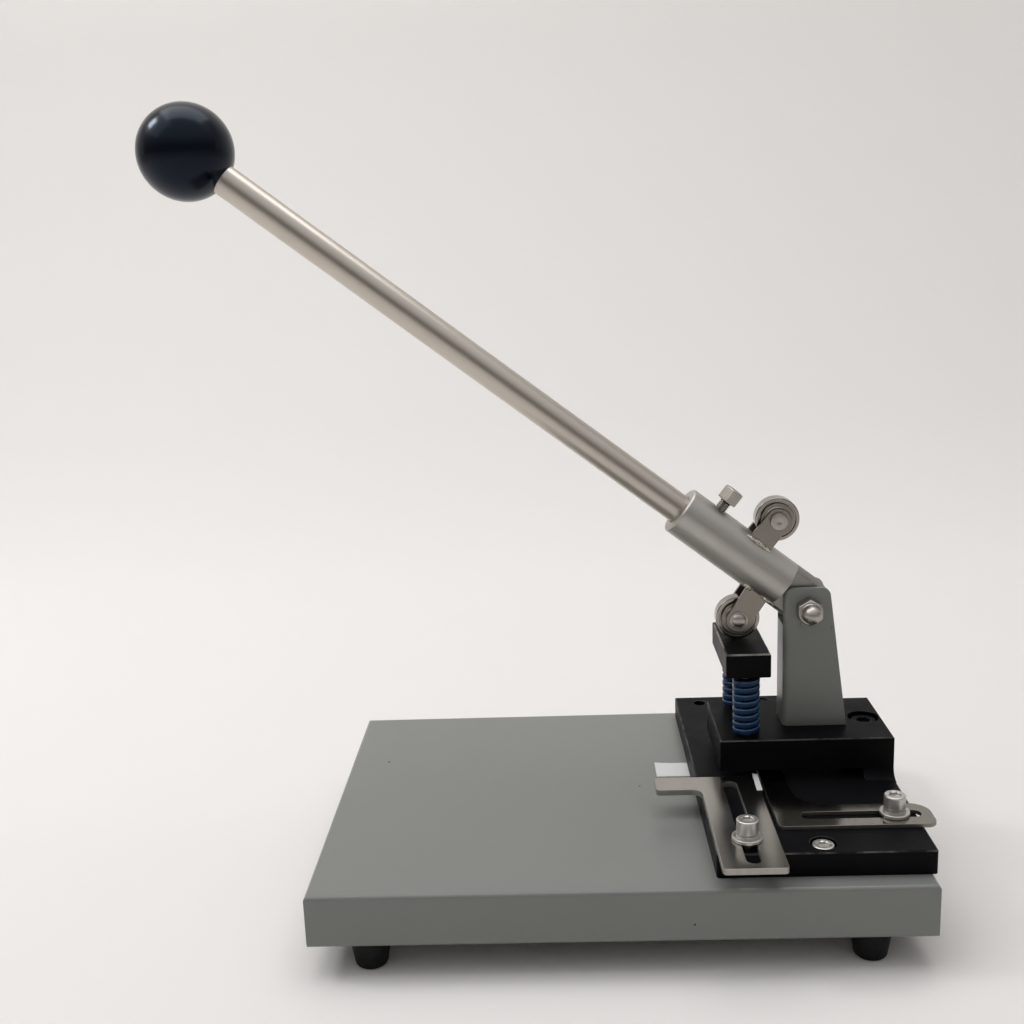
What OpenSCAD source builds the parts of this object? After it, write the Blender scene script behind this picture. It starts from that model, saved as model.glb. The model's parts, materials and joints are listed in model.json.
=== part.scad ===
// Desk lever press that punches one hole: folded tray, die block with a card throat,
// roller lever on a channel bracket, guided punch with two return springs, and two stops.
// Millimetres, +Z up. The origin is the centre of the tray's footprint on the desk.

/* [Tray] */
// Width of the tray, left to right
tray_w = 280; // [260:1:340]
// Depth of the tray, front to back
tray_d = 205; // [204:1:260]
// Height of the tray's folded sides
tray_h = 25; // [20:0.5:36]
// Thickness of the tray's sheet
tray_sheet = 1.5; // [1.5:0.1:2.5]
// Inside radius of the tray's folds
tray_bend_r = 0.5; // [0.3:0.1:2.5]
// Width of the lips folded in under the front and the back
tray_lip = 24; // [22:0.5:30]
// Open notch at each end of a lip
lip_notch = 4; // [2:0.5:8]

/* [Feet] */
// Height of a rubber foot
foot_h = 14.5; // [10:0.5:25]
// Diameter of a foot where it meets the tray
foot_top_d = 19.5; // [17:0.5:22]
// Diameter of a foot on the desk
foot_base_d = 15; // [14:0.5:18]
// Depth of the screw recess in a foot
foot_recess = 6; // [4.5:0.5:7]
// Distance of the feet from the tray's left and right sides
foot_inset_x = 27; // [18:1:60]
// Distance of the feet from the tray's front and back
foot_inset_y = 12; // [11.5:0.5:14]

/* [Die block] */
// Width of the die plate
plate_w = 97.5; // [92:0.5:110]
// Depth of the die plate
plate_d = 189; // [175:1:189]
// Thickness of the die plate
plate_t = 11.5; // [9:0.5:16]
// Reach of the die plate past the tray's right side
plate_overhang = 1.5; // [0:0.5:4]
// Distance of the plate's front edge from the tray's front
plate_setback = 10; // [8:0.5:15]
// Radius of the plate's upright corners
plate_corner_r = 1.5; // [1:0.5:7]
// Chamfer of the block's visible edges
block_chamfer = 0.6; // [0.3:0.1:1]
// Height of the throat that the card slides into
throat_h = 5.5; // [5:0.5:10]
// Thickness of the wall that closes the throat at the right
throat_wall = 15; // [15:0.5:18]
// Width of the raised block
block_w = 86; // [82:0.5:90]
// Depth of the raised block
block_d = 54; // [51.5:0.5:70]
// Thickness of the raised block above the throat
block_t = 16; // [14:0.5:24]
// Distance of the raised block from the plate's front edge
block_setback = 74.5; // [70:0.5:85]
// Radius where the raised block's wall meets the plate
block_fillet_r = 6; // [3:0.5:9]

/* [Punch] */
// Diameter of the hole that is punched
punch_d = 6; // [3:0.5:7]
// Diameter of the punch's shank
shank_d = 8; // [7.5:0.5:10]
// Diameter of the two guide posts
post_d = 6; // [5:0.1:6.4]
// Distance between the guide posts
post_spacing = 38; // [30:0.5:39]
// Distance of the punch from the raised block's left face
punch_inset = 14; // [9:0.5:15]
// Stroke of the crosshead
press_stroke = 9; // [7:0.5:10]
// Height of the punch's tip above the throat at rest
tip_rise = 0.5; // [0.2:0.1:2]
// Outside diameter of the die bush
die_d = 16; // [12:0.5:18]
// Length of the die bush's cutting land
die_land = 4; // [2:0.5:6]
// Width of the relief around the slug below the land
slug_relief = 1; // [0.5:0.1:2]

/* [Crosshead] */
// Width of the crosshead, left to right
crosshead_w = 22; // [18:0.5:24]
// Length of the crosshead, front to back
crosshead_l = 53; // [50:0.5:60]
// Thickness of the crosshead
crosshead_t = 12.5; // [10:0.5:14]
// Radius of the crosshead's edges
crosshead_r = 1; // [0.5:0.1:2]
// Depth of the sockets that hold the posts and the punch
crosshead_socket = 8; // [5:0.5:9]

/* [Return springs] */
// Outside diameter of a spring
spring_od = 13.4; // [12.2:0.1:14]
// Radial width of the flat wire
wire_w = 2.6; // [1.5:0.1:2.7]
// Axial height of the flat wire
wire_h = 2.4; // [1.2:0.1:2.5]
// Crown of the wire's flat sides
wire_crown = 0.15; // [0.1:0.05:0.3]
// Number of turns
spring_turns = 8.5; // [7:0.5:9.5]
// Gap between the turns at the two ends
end_turn_gap = 0.6; // [0.5:0.1:1]

/* [Bracket] */
// Width of the bracket over its cheeks
bracket_w = 20; // [20:0.5:28]
// Height of the bracket
bracket_h = 73; // [68:0.5:90]
// Thickness of the bracket's sheet
bracket_sheet = 2.5; // [2:0.1:2.5]
// Outside radius of the bracket's folds
bracket_fold_r = 3; // [2.8:0.1:4]
// Length of a cheek along the block
cheek_l = 32; // [30:0.5:38]
// Lean of a cheek's right edge, in degrees
cheek_lean = 7.3; // [2:0.1:8]
// Radius of the cheeks' top corners
cheek_r = 4.5; // [2:0.5:7]
// Height of the web that joins the cheeks
web_h = 53; // [40:0.5:53]
// Distance of the web from the raised block's left face
bracket_setback = 34; // [31:0.5:34]
// Thickness of the bracket's foot plate
bracket_foot_t = 3; // [2:0.5:5]

/* [Pivot] */
// Diameter of the pivot bolt
pivot_d = 8; // [6:0.5:10]
// Height of the pivot above the raised block
pivot_h = 61.8; // [61:0.1:68]
// Distance of the pivot from the web's outer face
pivot_setback = 12.1; // [11:0.1:14]
// Width of the pivot's nut and bolt head across the flats
pivot_af = 12; // [12:0.5:15]
// Height of the dome nut's hexagon
nut_hex_h = 6.5; // [5:0.5:8]
// Diameter of the nut's dome
nut_dome_d = 10.5; // [10.5:0.5:11.5]

/* [Lever] */
// Slope of the lever at rest, in degrees
lever_tilt = 38; // [36:0.5:40]
// Diameter of the lever head's round bar
bar_d = 25; // [22:0.5:28]
// Length of the lever head from the pivot to its open end
bar_l = 81; // [74:0.5:100]
// Drop of the pivot hole below the bar's axis
pivot_drop = 1.6; // [0:0.1:2]
// Thickness of the tongue between the two flats
tongue_t = 14; // [10:0.5:14]
// Distance of the flats' shoulder from the pivot
tongue_shoulder = 15.8; // [15:0.1:16.5]
// Reach of the tongue's round end past the pivot
tongue_end = 10; // [9:0.5:12.5]
// Diameter of the handle rod
rod_d = 15; // [12:0.5:16]
// Depth of the rod's socket in the lever head
rod_socket = 46; // [30:0.5:56]
// Distance from the pivot to the centre of the knob
knob_reach = 375; // [250:1:450]
// Diameter of the ball knob
knob_d = 46; // [40:0.5:60]
// Diameter of the knob's flat
knob_flat_d = 16; // [16:0.5:24]
// Diameter of the rod's threaded end in the knob
rod_stud_d = 10; // [8:0.5:10]
// Length of the rod's threaded end
rod_stud_l = 16; // [10:0.5:18]
// Wall of the knob's threaded insert
insert_wall = 2; // [1.5:0.1:3]
// Distance of the clamp bolt from the pivot
clamp_reach = 64.5; // [60:0.5:68]
// Length of the clamp bolt's bare neck above the bar
clamp_neck = 4.5; // [1:0.5:8]

/* [Rollers] */
// Diameter of a roller
roller_d = 22; // [20:0.5:24]
// Width of a roller
roller_w = 7; // [6:0.5:9]
// Wall of the rollers' inner rings
inner_ring_wall = 2; // [1.5:0.1:2.5]
// Diameter of a roller pin
pin_d = 8; // [6:0.5:9]
// Thickness of the fork plates
fork_sheet = 2; // [1.5:0.1:3]
// Width of the fork plates
fork_w = 12.2; // [11:0.1:14]
// Widening of a fork plate at its root, on each edge
fork_flare = 0.3; // [0.1:0.1:2]
// Diameter of the washers beside a roller
side_washer_d = 16.5; // [14:0.5:17]
// Thickness of the washers beside a roller
side_washer_t = 1.5; // [1:0.1:2]
// Distance of the lower roller from the pivot, along the bar
lower_reach = 23.5; // [23:0.1:26]
// Distance of the lower roller below the pivot, square to the bar
lower_drop = 25.3; // [24.5:0.1:27]
// Shift of the lower fork's root towards the knob
lower_root_shift = 2; // [0:0.5:4]
// Distance of the upper roller from the pivot, along the bar
upper_reach = 39.3; // [38:0.1:45]
// Distance of the upper roller above the pivot, square to the bar
upper_rise = 26.6; // [26.2:0.1:30]
// Reach of a pin past its fork
pin_proud = 2.2; // [1:0.1:4]

/* [Fence] */
// Thickness of the fence plate
fence_t = 3; // [2:0.5:4]
// Width of the fence's body
fence_w = 28.5; // [27:0.5:29.5]
// Length of the fence
fence_l = 91.5; // [86:0.5:92]
// Reach of the fence's arm past its body
fence_arm_l = 22; // [12:0.5:40]
// Width of the fence's arm
fence_arm_w = 14; // [10:0.5:22]
// Radius of the fence's inner corner
fence_inner_r = 5; // [2:0.5:8]
// Width of the fence's slot
fence_slot_w = 7; // [6.5:0.5:9]
// Length of the fence's slot
fence_slot_l = 81; // [60:0.5:82]
// Distance of the slot from the fence's front edge
fence_slot_end = 4.5; // [3:0.5:6]
// Distance of the slot's middle from the fence's left edge
fence_slot_inset = 14.5; // [12:0.5:16]
// Reach of the fence past the plate's front edge
fence_reach = 18.1; // [8:0.1:22]
// Distance of the fence's screw from the plate's left side
fence_screw_x = 14.8; // [14:0.1:16]
// Distance of the fence's screw from the plate's front edge
fence_screw_y = 8.5; // [8:0.1:14]

/* [End stop] */
// Thickness of the end stop plate
stop_t = 2; // [1.5:0.5:3]
// Gap between the fence and the end stop
stop_gap = 2.4; // [1.3:0.1:3]
// Width of the leg that the card meets
stop_leg_w = 12; // [8:0.5:14]
// Length of the end stop, front to back
stop_leg_l = 90; // [80:0.5:100]
// Width of the end stop's arm
stop_arm_w = 21; // [18:0.5:24]
// Length of the end stop's arm
stop_arm_l = 72.5; // [70:0.5:90]
// Radius between the leg and the arm
stop_inner_r = 17; // [5:0.5:18]
// Radius of the back corner at the arm's end
stop_end_r = 9; // [6:0.5:9]
// Radius of the front corner at the arm's end
stop_front_r = 4.5; // [3:0.5:5]
// Width of the end stop's slot
stop_slot_w = 7; // [6.5:0.5:8]
// Length of the end stop's slot
stop_slot_l = 55.5; // [54:0.5:56]
// Distance of the slot from the end stop's left edge
stop_slot_end = 11.9; // [11:0.1:13]
// Distance of the end stop's screw from the plate's right side
stop_screw_x = 11.2; // [8:0.1:16]
// Distance of the end stop's screw from the plate's front edge
stop_screw_y = 31.7; // [30:0.1:36]

/* [Fasteners] */
// Thread diameter of the plate and stop screws
screw_d = 6; // [5:0.5:6]
// Head diameter of the plate and stop screws
screw_head_d = 10; // [9:0.5:11]
// Head height of the plate and stop screws
screw_head_h = 6.5; // [5:0.5:7]
// Depth of the plate screws' heads below the plate
screw_sink = 0.5; // [0.2:0.1:1]
// Width of the plate and stop screws' hexagon socket
screw_socket = 5; // [4:0.5:6]
// Thread diameter of the raised block's screw
block_screw_d = 8; // [6:0.5:8]
// Head diameter of the raised block's screw
block_screw_head_d = 13; // [11:0.5:13]
// Head height of the raised block's screw
block_screw_head_h = 8; // [6:0.5:9]
// Depth of the raised block screw's head below the block
block_screw_sink = 1.5; // [0.5:0.1:4]
// Extra diameter of that screw's counterbore over its head
block_counterbore_clear = 2.8; // [1:0.1:3]
// Width of the raised block screw's hexagon socket
block_screw_socket = 6; // [5:0.5:8]
// Distance of the raised block's screw from the plate's right side
block_screw_inset = 9; // [8.3:0.1:9]
// Width of the tapped plate that the raised block's screw holds under the tray
backing_w = 20; // [16:0.5:30]
// Length of that tapped plate, front to back
backing_l = 30; // [20:0.5:60]
// Diameter of the stop screws' plain washers
washer_d = 14; // [12:0.5:14]
// Thickness of the plain washers
washer_t = 1.6; // [1:0.1:2]
// Diameter of the stop screws' spring washers
lock_washer_d = 10.4; // [9:0.1:11]
// Thickness of the spring washers
lock_washer_t = 1.6; // [1:0.1:2]
// Thread diameter of the foot screws
foot_screw_d = 4; // [3:0.5:4]
// Head diameter of the foot screws
foot_head_d = 8; // [6:0.5:8]
// Thread diameter of the bracket screws
bracket_screw_d = 5; // [4:0.5:5]
// Head diameter of the bracket screws
bracket_head_d = 8.5; // [7:0.5:9]
// Distance between the bracket screws
bracket_screw_pitch = 12; // [10:0.5:14]
// Thread diameter of the clamp bolt
clamp_d = 6; // [5:0.5:8]
// Width of the clamp bolt's head across the flats
clamp_af = 10; // [8:0.5:13]
// Height of the clamp bolt's head
clamp_head_h = 7; // [4:0.5:8]
// Distance of the spare fixing hole from the plate's left side
spare_hole_inset = 13.5; // [10:0.5:30]
// Diameter of the spare fixing hole at the plate's back
spare_hole_d = 7; // [5:0.5:8]

/* [Fits] */
// Radial clearance of parts that turn or slide in a bore
run_clear = 0.05; // [0.02:0.01:0.09]
// Clearance of parts that are pressed or screwed in
seat_clear = 0.03; // [0.02:0.01:0.1]
// Gap under a plate that slides on another
slide_gap = 0.05; // [0.02:0.01:0.2]
// Gap between the lower roller and the crosshead at rest
roller_gap = 0.4; // [0.35:0.05:1]
// Extra diameter of a plain screw hole
hole_clear = 0.5; // [0.3:0.1:1]
// Extra diameter of a counterbore over the screw's head
counterbore_clear = 2; // [1:0.1:2.2]

/* [Hidden] */
$fn = 64;
over = 1;
paint_grey = "#878a86";
block_black = "#26272a";
steel = "#b5afa8";
bright = "#d0d0cf";
spring_blue = "#1f4a80";
rubber_black = "#1b1b1c";
knob_black = "#14161c";
brass = "#b8964e";

tray_z = foot_h;
tray_fold_r = tray_sheet + tray_bend_r;
tray_top = tray_z + tray_h;
tray_front = -tray_d / 2;

plate_x0 = tray_w / 2 + plate_overhang - plate_w;
plate_x1 = plate_x0 + plate_w;
plate_y0 = tray_front + plate_setback;
plate_y1 = plate_y0 + plate_d;
plate_top = tray_top + plate_t;
block_x0 = plate_x1 - block_w;
block_y0 = plate_y0 + block_setback;
block_y1 = block_y0 + block_d;
throat_top = plate_top + throat_h;
throat_x1 = plate_x1 - throat_wall;
block_top = throat_top + block_t;
centre_y = block_y0 + block_d / 2;
punch_x = block_x0 + punch_inset;
post_ys = [centre_y - post_spacing / 2, centre_y + post_spacing / 2];

bracket_x0 = block_x0 + bracket_setback;
channel_w = bracket_w - 2 * bracket_sheet;
pivot_x = bracket_x0 + pivot_setback;
pivot_z = block_top + pivot_h;
nut_bore_l = nut_hex_h + 1;

// The crosshead hangs just under the lower roller, and the springs fill the height below it.
lower_z = pivot_z + lower_reach * sin(lever_tilt) - lower_drop * cos(lever_tilt);
crosshead_z1 = lower_z - roller_d / 2 - roller_gap;
crosshead_z0 = crosshead_z1 - crosshead_t;
spring_l = crosshead_z0 - block_top - 2 * slide_gap;
tip_z = throat_top + tip_rise;
post_z = throat_top + press_stroke + tip_rise;

fork_gap = roller_w + 2 * side_washer_t + 2 * slide_gap;
fork_outer = fork_gap + 2 * fork_sheet;
inner_ring_d = pin_d + 2 * inner_ring_wall;
knob_flat_x = sqrt(pow(knob_d, 2) - pow(knob_flat_d, 2)) / 2;

fence_screw = [plate_x0 + fence_screw_x, plate_y0 + fence_screw_y];
fence_x0 = fence_screw[0] - fence_slot_inset;
fence_y0 = plate_y0 - fence_reach;
stop_screw = [plate_x1 - stop_screw_x, plate_y0 + stop_screw_y];
stop_x0 = fence_x0 + fence_w + stop_gap;
stop_y0 = stop_screw[1] - stop_arm_w / 2;
plate_screw_x = (plate_x0 + plate_x1) / 2;
plate_screw_inset = 9;
plate_screw_ys = [plate_y0 + plate_screw_inset, plate_y1 - plate_screw_inset];
block_screw = [plate_x1 - block_screw_inset, centre_y];
bracket_screw_xs = [for (side = [-1, 1])
    bracket_x0 + cheek_l / 2 + side * bracket_screw_pitch / 2];
bracket_screw_l = 10;
bracket_head_h = bracket_screw_d;
plate_screw_head_z = plate_top - screw_sink;
block_screw_head_z = block_top - block_screw_sink;
nut_h = 5;
nut_z = tray_top - tray_sheet - nut_h;
foot_head_h = 3;
foot_nut_h = 3.2;

// Shared shapes

// Rectangle with round corners, centred
module rounded_rect(w, d, r) {
    square([w - 2 * r, d], center = true);
    square([w, d - 2 * r], center = true);
    for (x = [-1, 1], y = [-1, 1])
        translate([x * (w / 2 - r), y * (d / 2 - r)]) circle(r);
}

// Rectangle with round top corners, standing on the X axis
module arched_rect(w, h, r) {
    translate([0, h / 2]) rounded_rect(w, h, r);
    translate([-w / 2, 0]) square([w, h - r]);
}

// Slot with round ends, from the origin along +X
module slot_shape(l, w) {
    translate([w / 2, 0]) circle(d = w);
    translate([l - w / 2, 0]) circle(d = w);
    translate([w / 2, -w / 2]) square([l - w, w]);
}

// Concave corner that fills the quadrant at the origin
module corner_fill(r) {
    difference() {
        square(r);
        translate([r, r]) circle(r);
    }
}

// Stands a flat XZ outline up and makes it thick along Y, from y0 to y1
module upright(y0, y1) {
    translate([0, y1, 0]) rotate([90, 0, 0]) linear_extrude(y1 - y0) children();
}

// Makes a YZ outline long along X, centred
module along_x(l) {
    rotate([90, 0, 90]) linear_extrude(l, center = true) children();
}

// Cylinder along Y, from y0 to y1
module y_cylinder(d, y0, y1) {
    translate([0, y0, 0]) rotate([-90, 0, 0]) cylinder(d = d, h = y1 - y0);
}

// Hexagonal prism, width across the flats
module hexagon(af, h) {
    cylinder(d = af / cos(30), h = h, $fn = 6);
}

module washer(od, id, t) {
    difference() {
        cylinder(d = od, h = t);
        translate([0, 0, -over]) cylinder(d = id, h = t + 2 * over);
    }
}

module nut(af, thread_d, h) {
    difference() {
        hexagon(af, h);
        translate([0, 0, -over]) cylinder(d = thread_d + 2 * seat_clear, h = h + 2 * over);
    }
}

// Socket head screw: its head stands on z = 0 and its shank hangs below
module cap_screw(d, head_d, head_h, socket, l) {
    edge = head_h / 10;
    difference() {
        union() {
            rotate_extrude() polygon([[0, 0], [head_d / 2, 0], [head_d / 2, head_h - edge],
                [head_d / 2 - edge, head_h], [0, head_h]]);
            translate([0, 0, -l]) cylinder(d = d, h = l + over);
        }
        translate([0, 0, head_h / 2]) hexagon(socket, head_h);
    }
}

// Spring washer: a ring with a slanting split
module lock_washer(od, id, t) {
    split = t / 2;
    difference() {
        washer(od, id, t);
        rotate([30, 0, 0]) translate([0, -split / 2, -od]) cube([od, split, 2 * od]);
    }
}

module at_feet() {
    for (x = [-1, 1], y = [-1, 1])
        translate([x * (tray_w / 2 - foot_inset_x), y * (tray_d / 2 - foot_inset_y), 0]) children();
}

// Moves the lever's own frame to its place: X along the bar, Z square to it, origin at the pivot
module on_lever() {
    translate([pivot_x, centre_y, pivot_z]) rotate([0, lever_tilt, 0]) children();
}

// Moves a shape to a roller's axis in the lever's frame
module at_lower_pin() {
    on_lever() translate([-lower_reach, 0, -lower_drop]) children();
}

module at_upper_pin() {
    on_lever() translate([-upper_reach, 0, upper_rise]) children();
}

// Tray and feet

module base_tray() {
    inner_w = tray_w - 2 * tray_sheet;
    inner_d = tray_d - 2 * tray_sheet;
    color(paint_grey) difference() {
        translate([0, 0, tray_z]) difference() {
            intersection() {
                along_x(tray_w) translate([0, tray_h / 2]) rounded_rect(tray_d, tray_h, tray_fold_r);
                upright(-tray_d / 2, tray_d / 2) arched_rect(tray_w, tray_h, tray_fold_r);
            }
            intersection() {
                along_x(tray_w) translate([0, tray_h / 2])
                    rounded_rect(inner_d, tray_h - 2 * tray_sheet, tray_bend_r);
                upright(-tray_d / 2, tray_d / 2)
                    arched_rect(inner_w, tray_h - tray_sheet, tray_bend_r);
            }
            translate([-inner_w / 2, -tray_d / 2 + tray_lip, -over])
                cube([inner_w, tray_d - 2 * tray_lip, tray_sheet + 2 * over]);
            for (x = [-1, 1], y = [-1, 1])
                translate([x * (inner_w - lip_notch) / 2, y * (tray_d - tray_lip - tray_fold_r) / 2, 0])
                    cube([lip_notch, tray_lip - tray_fold_r + over, 2 * tray_sheet + over], center = true);
        }
        at_feet() translate([0, 0, tray_z - over])
            cylinder(d = foot_screw_d + hole_clear, h = tray_sheet + 2 * over);
        translate([0, 0, tray_top - tray_sheet - over]) {
            for (y = plate_screw_ys) translate([plate_screw_x, y, 0])
                cylinder(d = screw_d + hole_clear, h = tray_sheet + 2 * over);
            translate(block_screw)
                cylinder(d = block_screw_d + hole_clear, h = tray_sheet + 2 * over);
            translate([punch_x, centre_y, 0])
                cylinder(d = punch_d + 4 * slug_relief, h = tray_sheet + 2 * over);
        }
    }
}

module foot() {
    edge = 1;
    bore_r = (foot_screw_d + hole_clear) / 2;
    recess_r = foot_head_d / 2 + hole_clear;
    color(rubber_black) rotate_extrude() polygon([[recess_r, 0], [foot_base_d / 2 - edge, 0],
        [foot_base_d / 2, edge], [foot_top_d / 2, foot_h], [bore_r, foot_h],
        [bore_r, foot_recess], [recess_r, foot_recess]]);
}

module place_foot(x, y) {
    translate([x * (tray_w / 2 - foot_inset_x), y * (tray_d / 2 - foot_inset_y), 0]) foot();
}

module foot_front_left() { place_foot(-1, -1); }
module foot_front_right() { place_foot(1, -1); }
module foot_rear_left() { place_foot(-1, 1); }
module foot_rear_right() { place_foot(1, 1); }

module foot_screws() {
    shank_l = foot_h - foot_recess + tray_sheet + foot_nut_h + 1;
    color(bright) at_feet() translate([0, 0, foot_recess - foot_head_h]) {
        difference() {
            cylinder(d = foot_head_d, h = foot_head_h);
            translate([0, 0, -over]) for (turn = [0, 90]) rotate(turn)
                translate([-foot_head_d / 3, -foot_head_h / 6, 0])
                    cube([foot_head_d / 1.5, foot_head_h / 3, over + foot_head_h / 2]);
        }
        cylinder(d = foot_screw_d, h = foot_head_h + shank_l);
    }
}

module foot_nuts() {
    color(bright) at_feet() translate([0, 0, tray_z + tray_sheet])
        nut(1.75 * foot_screw_d, foot_screw_d, foot_nut_h);
}

// Die block

// Front outline of the raised block: closed at the right, open to the left under it
module throat_outline() {
    c = block_chamfer;
    polygon([[block_x0, throat_top], [block_x0, block_top - c], [block_x0 + c, block_top],
        [plate_x1 - c, block_top], [plate_x1, block_top - c], [plate_x1, plate_top - over],
        [throat_x1, plate_top - over], [throat_x1, throat_top]]);
}

// Side outline of the raised block
module block_outline() {
    c = block_chamfer;
    polygon([[block_y0, tray_top], [block_y0, block_top - c], [block_y0 + c, block_top],
        [block_y1 - c, block_top], [block_y1, block_top - c], [block_y1, tray_top]]);
}

module die_plate() {
    c = block_chamfer * sqrt(2);
    difference() {
        translate([plate_x0 + plate_w / 2, plate_y0 + plate_d / 2, tray_top])
            linear_extrude(plate_t) rounded_rect(plate_w, plate_d, plate_corner_r);
        for (x = [plate_x0, plate_x1]) translate([x, plate_y0 + plate_d / 2, plate_top])
            rotate([0, 45, 0]) cube([c, plate_d + over, c], center = true);
        for (y = [plate_y0, plate_y1]) translate([plate_x0 + plate_w / 2, y, plate_top])
            rotate([45, 0, 0]) cube([plate_w + over, c, c], center = true);
    }
}

module wall_fillets() {
    translate([throat_x1 + throat_wall / 2, block_y1, plate_top])
        along_x(throat_wall) corner_fill(block_fillet_r);
    translate([throat_x1 + throat_wall / 2, block_y0, plate_top])
        along_x(throat_wall) mirror([1, 0]) corner_fill(block_fillet_r);
}

module die_block() {
    color(block_black) difference() {
        union() {
            die_plate();
            intersection() {
                upright(block_y0 - over, block_y1 + over) throat_outline();
                translate([(block_x0 + plate_x1) / 2, 0, 0]) along_x(block_w + over) block_outline();
            }
            wall_fillets();
        }
        for (y = post_ys) translate([punch_x, y, throat_top - over])
            cylinder(d = post_d + 2 * run_clear, h = block_t + 2 * over);
        translate([punch_x, centre_y, throat_top - over])
            cylinder(d = shank_d + 2 * run_clear, h = block_t + 2 * over);
        translate([punch_x, centre_y, tray_top - over])
            cylinder(d = die_d + 2 * seat_clear, h = plate_t + 2 * over);
        for (y = plate_screw_ys) translate([plate_screw_x, y, tray_top - over]) {
            cylinder(d = screw_d + hole_clear, h = plate_t + 2 * over);
            translate([0, 0, over + plate_t - screw_sink - screw_head_h])
                cylinder(d = screw_head_d + counterbore_clear, h = screw_head_h + over);
        }
        translate([block_screw[0], block_screw[1], tray_top - over])
            cylinder(d = block_screw_d + hole_clear, h = block_top - tray_top + 2 * over);
        translate([block_screw[0], block_screw[1], block_screw_head_z - block_screw_head_h])
            cylinder(d = block_screw_head_d + block_counterbore_clear,
                h = block_screw_head_h + block_screw_sink + over);
        for (spot = [fence_screw, stop_screw]) translate([spot[0], spot[1], tray_top - over])
            cylinder(d = screw_d + 2 * seat_clear, h = plate_t + 2 * over);
        for (x = bracket_screw_xs) translate([x, centre_y, block_top - bracket_screw_l - over])
            cylinder(d = bracket_screw_d + 2 * seat_clear, h = bracket_screw_l + 2 * over);
        translate([plate_x0 + spare_hole_inset, plate_y1 - plate_screw_inset, tray_top - over])
            cylinder(d = spare_hole_d, h = plate_t + 2 * over);
    }
}

module die_bush() {
    bore_r = punch_d / 2 + run_clear;
    color(steel) translate([punch_x, centre_y, tray_top]) rotate_extrude()
        polygon([[bore_r, plate_t], [die_d / 2, plate_t], [die_d / 2, 0], [bore_r + slug_relief, 0],
            [bore_r + slug_relief, plate_t - die_land], [bore_r, plate_t - die_land]]);
}

module plate_screws() {
    head_z = plate_screw_head_z - screw_head_h;
    color(bright) for (y = plate_screw_ys) translate([plate_screw_x, y, head_z])
        cap_screw(screw_d, screw_head_d, screw_head_h, screw_socket,
            head_z - tray_top + tray_sheet + nut_h + 2);
}

module block_screw() {
    head_z = block_screw_head_z - block_screw_head_h;
    color(block_black) translate([block_screw[0], block_screw[1], head_z])
        cap_screw(block_screw_d, block_screw_head_d, block_screw_head_h, block_screw_socket,
            head_z - tray_top + tray_sheet + nut_h + 2);
}

module block_nuts() {
    color(bright) for (y = plate_screw_ys) translate([plate_screw_x, y, nut_z])
        nut(5 / 3 * screw_d, screw_d, nut_h);
}

// Tapped plate for the raised block's screw, close to the tray's side and clear of its fold
module backing_plate() {
    x1 = tray_w / 2 - tray_sheet - slide_gap;
    c = tray_bend_r + slide_gap;
    color(steel) difference() {
        upright(centre_y - backing_l / 2, centre_y + backing_l / 2)
            polygon([[x1 - backing_w, nut_z], [x1, nut_z], [x1, nut_z + nut_h - c],
                [x1 - c, nut_z + nut_h], [x1 - backing_w, nut_z + nut_h]]);
        translate([block_screw[0], block_screw[1], nut_z - over])
            cylinder(d = block_screw_d + 2 * seat_clear, h = nut_h + 2 * over);
    }
}

// Lever bracket

// Side outline of the cheeks: upright at the web, leaning at the right, round at the top
module cheek_outline() {
    arc_z = bracket_h - cheek_r;
    right_x = cheek_l - arc_z * tan(cheek_lean) - cheek_r / cos(cheek_lean);
    polygon([[0, 0], [cheek_l, 0],
        [right_x + cheek_r * cos(cheek_lean), arc_z + cheek_r * sin(cheek_lean)],
        [right_x, bracket_h], [cheek_r, bracket_h], [0, arc_z]]);
    translate([cheek_r, arc_z]) circle(cheek_r);
    translate([right_x, arc_z]) circle(cheek_r);
}

// Plan of a folded channel: web at the left, open to the right
module channel_plan(l, w, r) {
    rotate(90) translate([0, -l]) arched_rect(w, l, r);
}

module lever_bracket() {
    inner_r = bracket_fold_r - bracket_sheet;
    color(paint_grey) translate([bracket_x0, centre_y, block_top]) {
        difference() {
            intersection() {
                linear_extrude(bracket_h) difference() {
                    channel_plan(cheek_l, bracket_w, bracket_fold_r);
                    translate([bracket_sheet, 0]) channel_plan(cheek_l, channel_w, inner_r);
                }
                upright(-bracket_w, bracket_w) cheek_outline();
            }
            translate([-over, -channel_w / 2, web_h])
                cube([bracket_fold_r + 2 * over, channel_w, bracket_h]);
            translate([pivot_setback, 0, pivot_h])
                y_cylinder(pivot_d + 2 * run_clear, -bracket_w, bracket_w);
        }
        difference() {
            translate([bracket_sheet, -channel_w / 2, 0])
                cube([cheek_l - 2 * bracket_sheet, channel_w, bracket_foot_t]);
            for (x = bracket_screw_xs) translate([x - bracket_x0, 0, -over])
                cylinder(d = bracket_screw_d + hole_clear, h = bracket_foot_t + 2 * over);
        }
    }
}

module bracket_screws() {
    color(bright) for (x = bracket_screw_xs) translate([x, centre_y, block_top + bracket_foot_t])
        cap_screw(bracket_screw_d, bracket_head_d, bracket_head_h, bracket_head_d / 2,
            bracket_foot_t + bracket_screw_l - over);
}

// Stops for the card

module fence_outline() {
    body_r = 2;
    difference() {
        union() {
            translate([fence_w / 2, fence_l / 2]) rounded_rect(fence_w, fence_l, body_r);
            translate([-fence_arm_l / 2 + fence_w / 4, fence_l - fence_arm_w / 2])
                rounded_rect(fence_arm_l + fence_w / 2, fence_arm_w, body_r);
            translate([0, fence_l - fence_arm_w]) rotate(180) corner_fill(fence_inner_r);
        }
        translate([fence_slot_inset, fence_slot_end]) rotate(90) slot_shape(fence_slot_l, fence_slot_w);
    }
}

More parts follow.
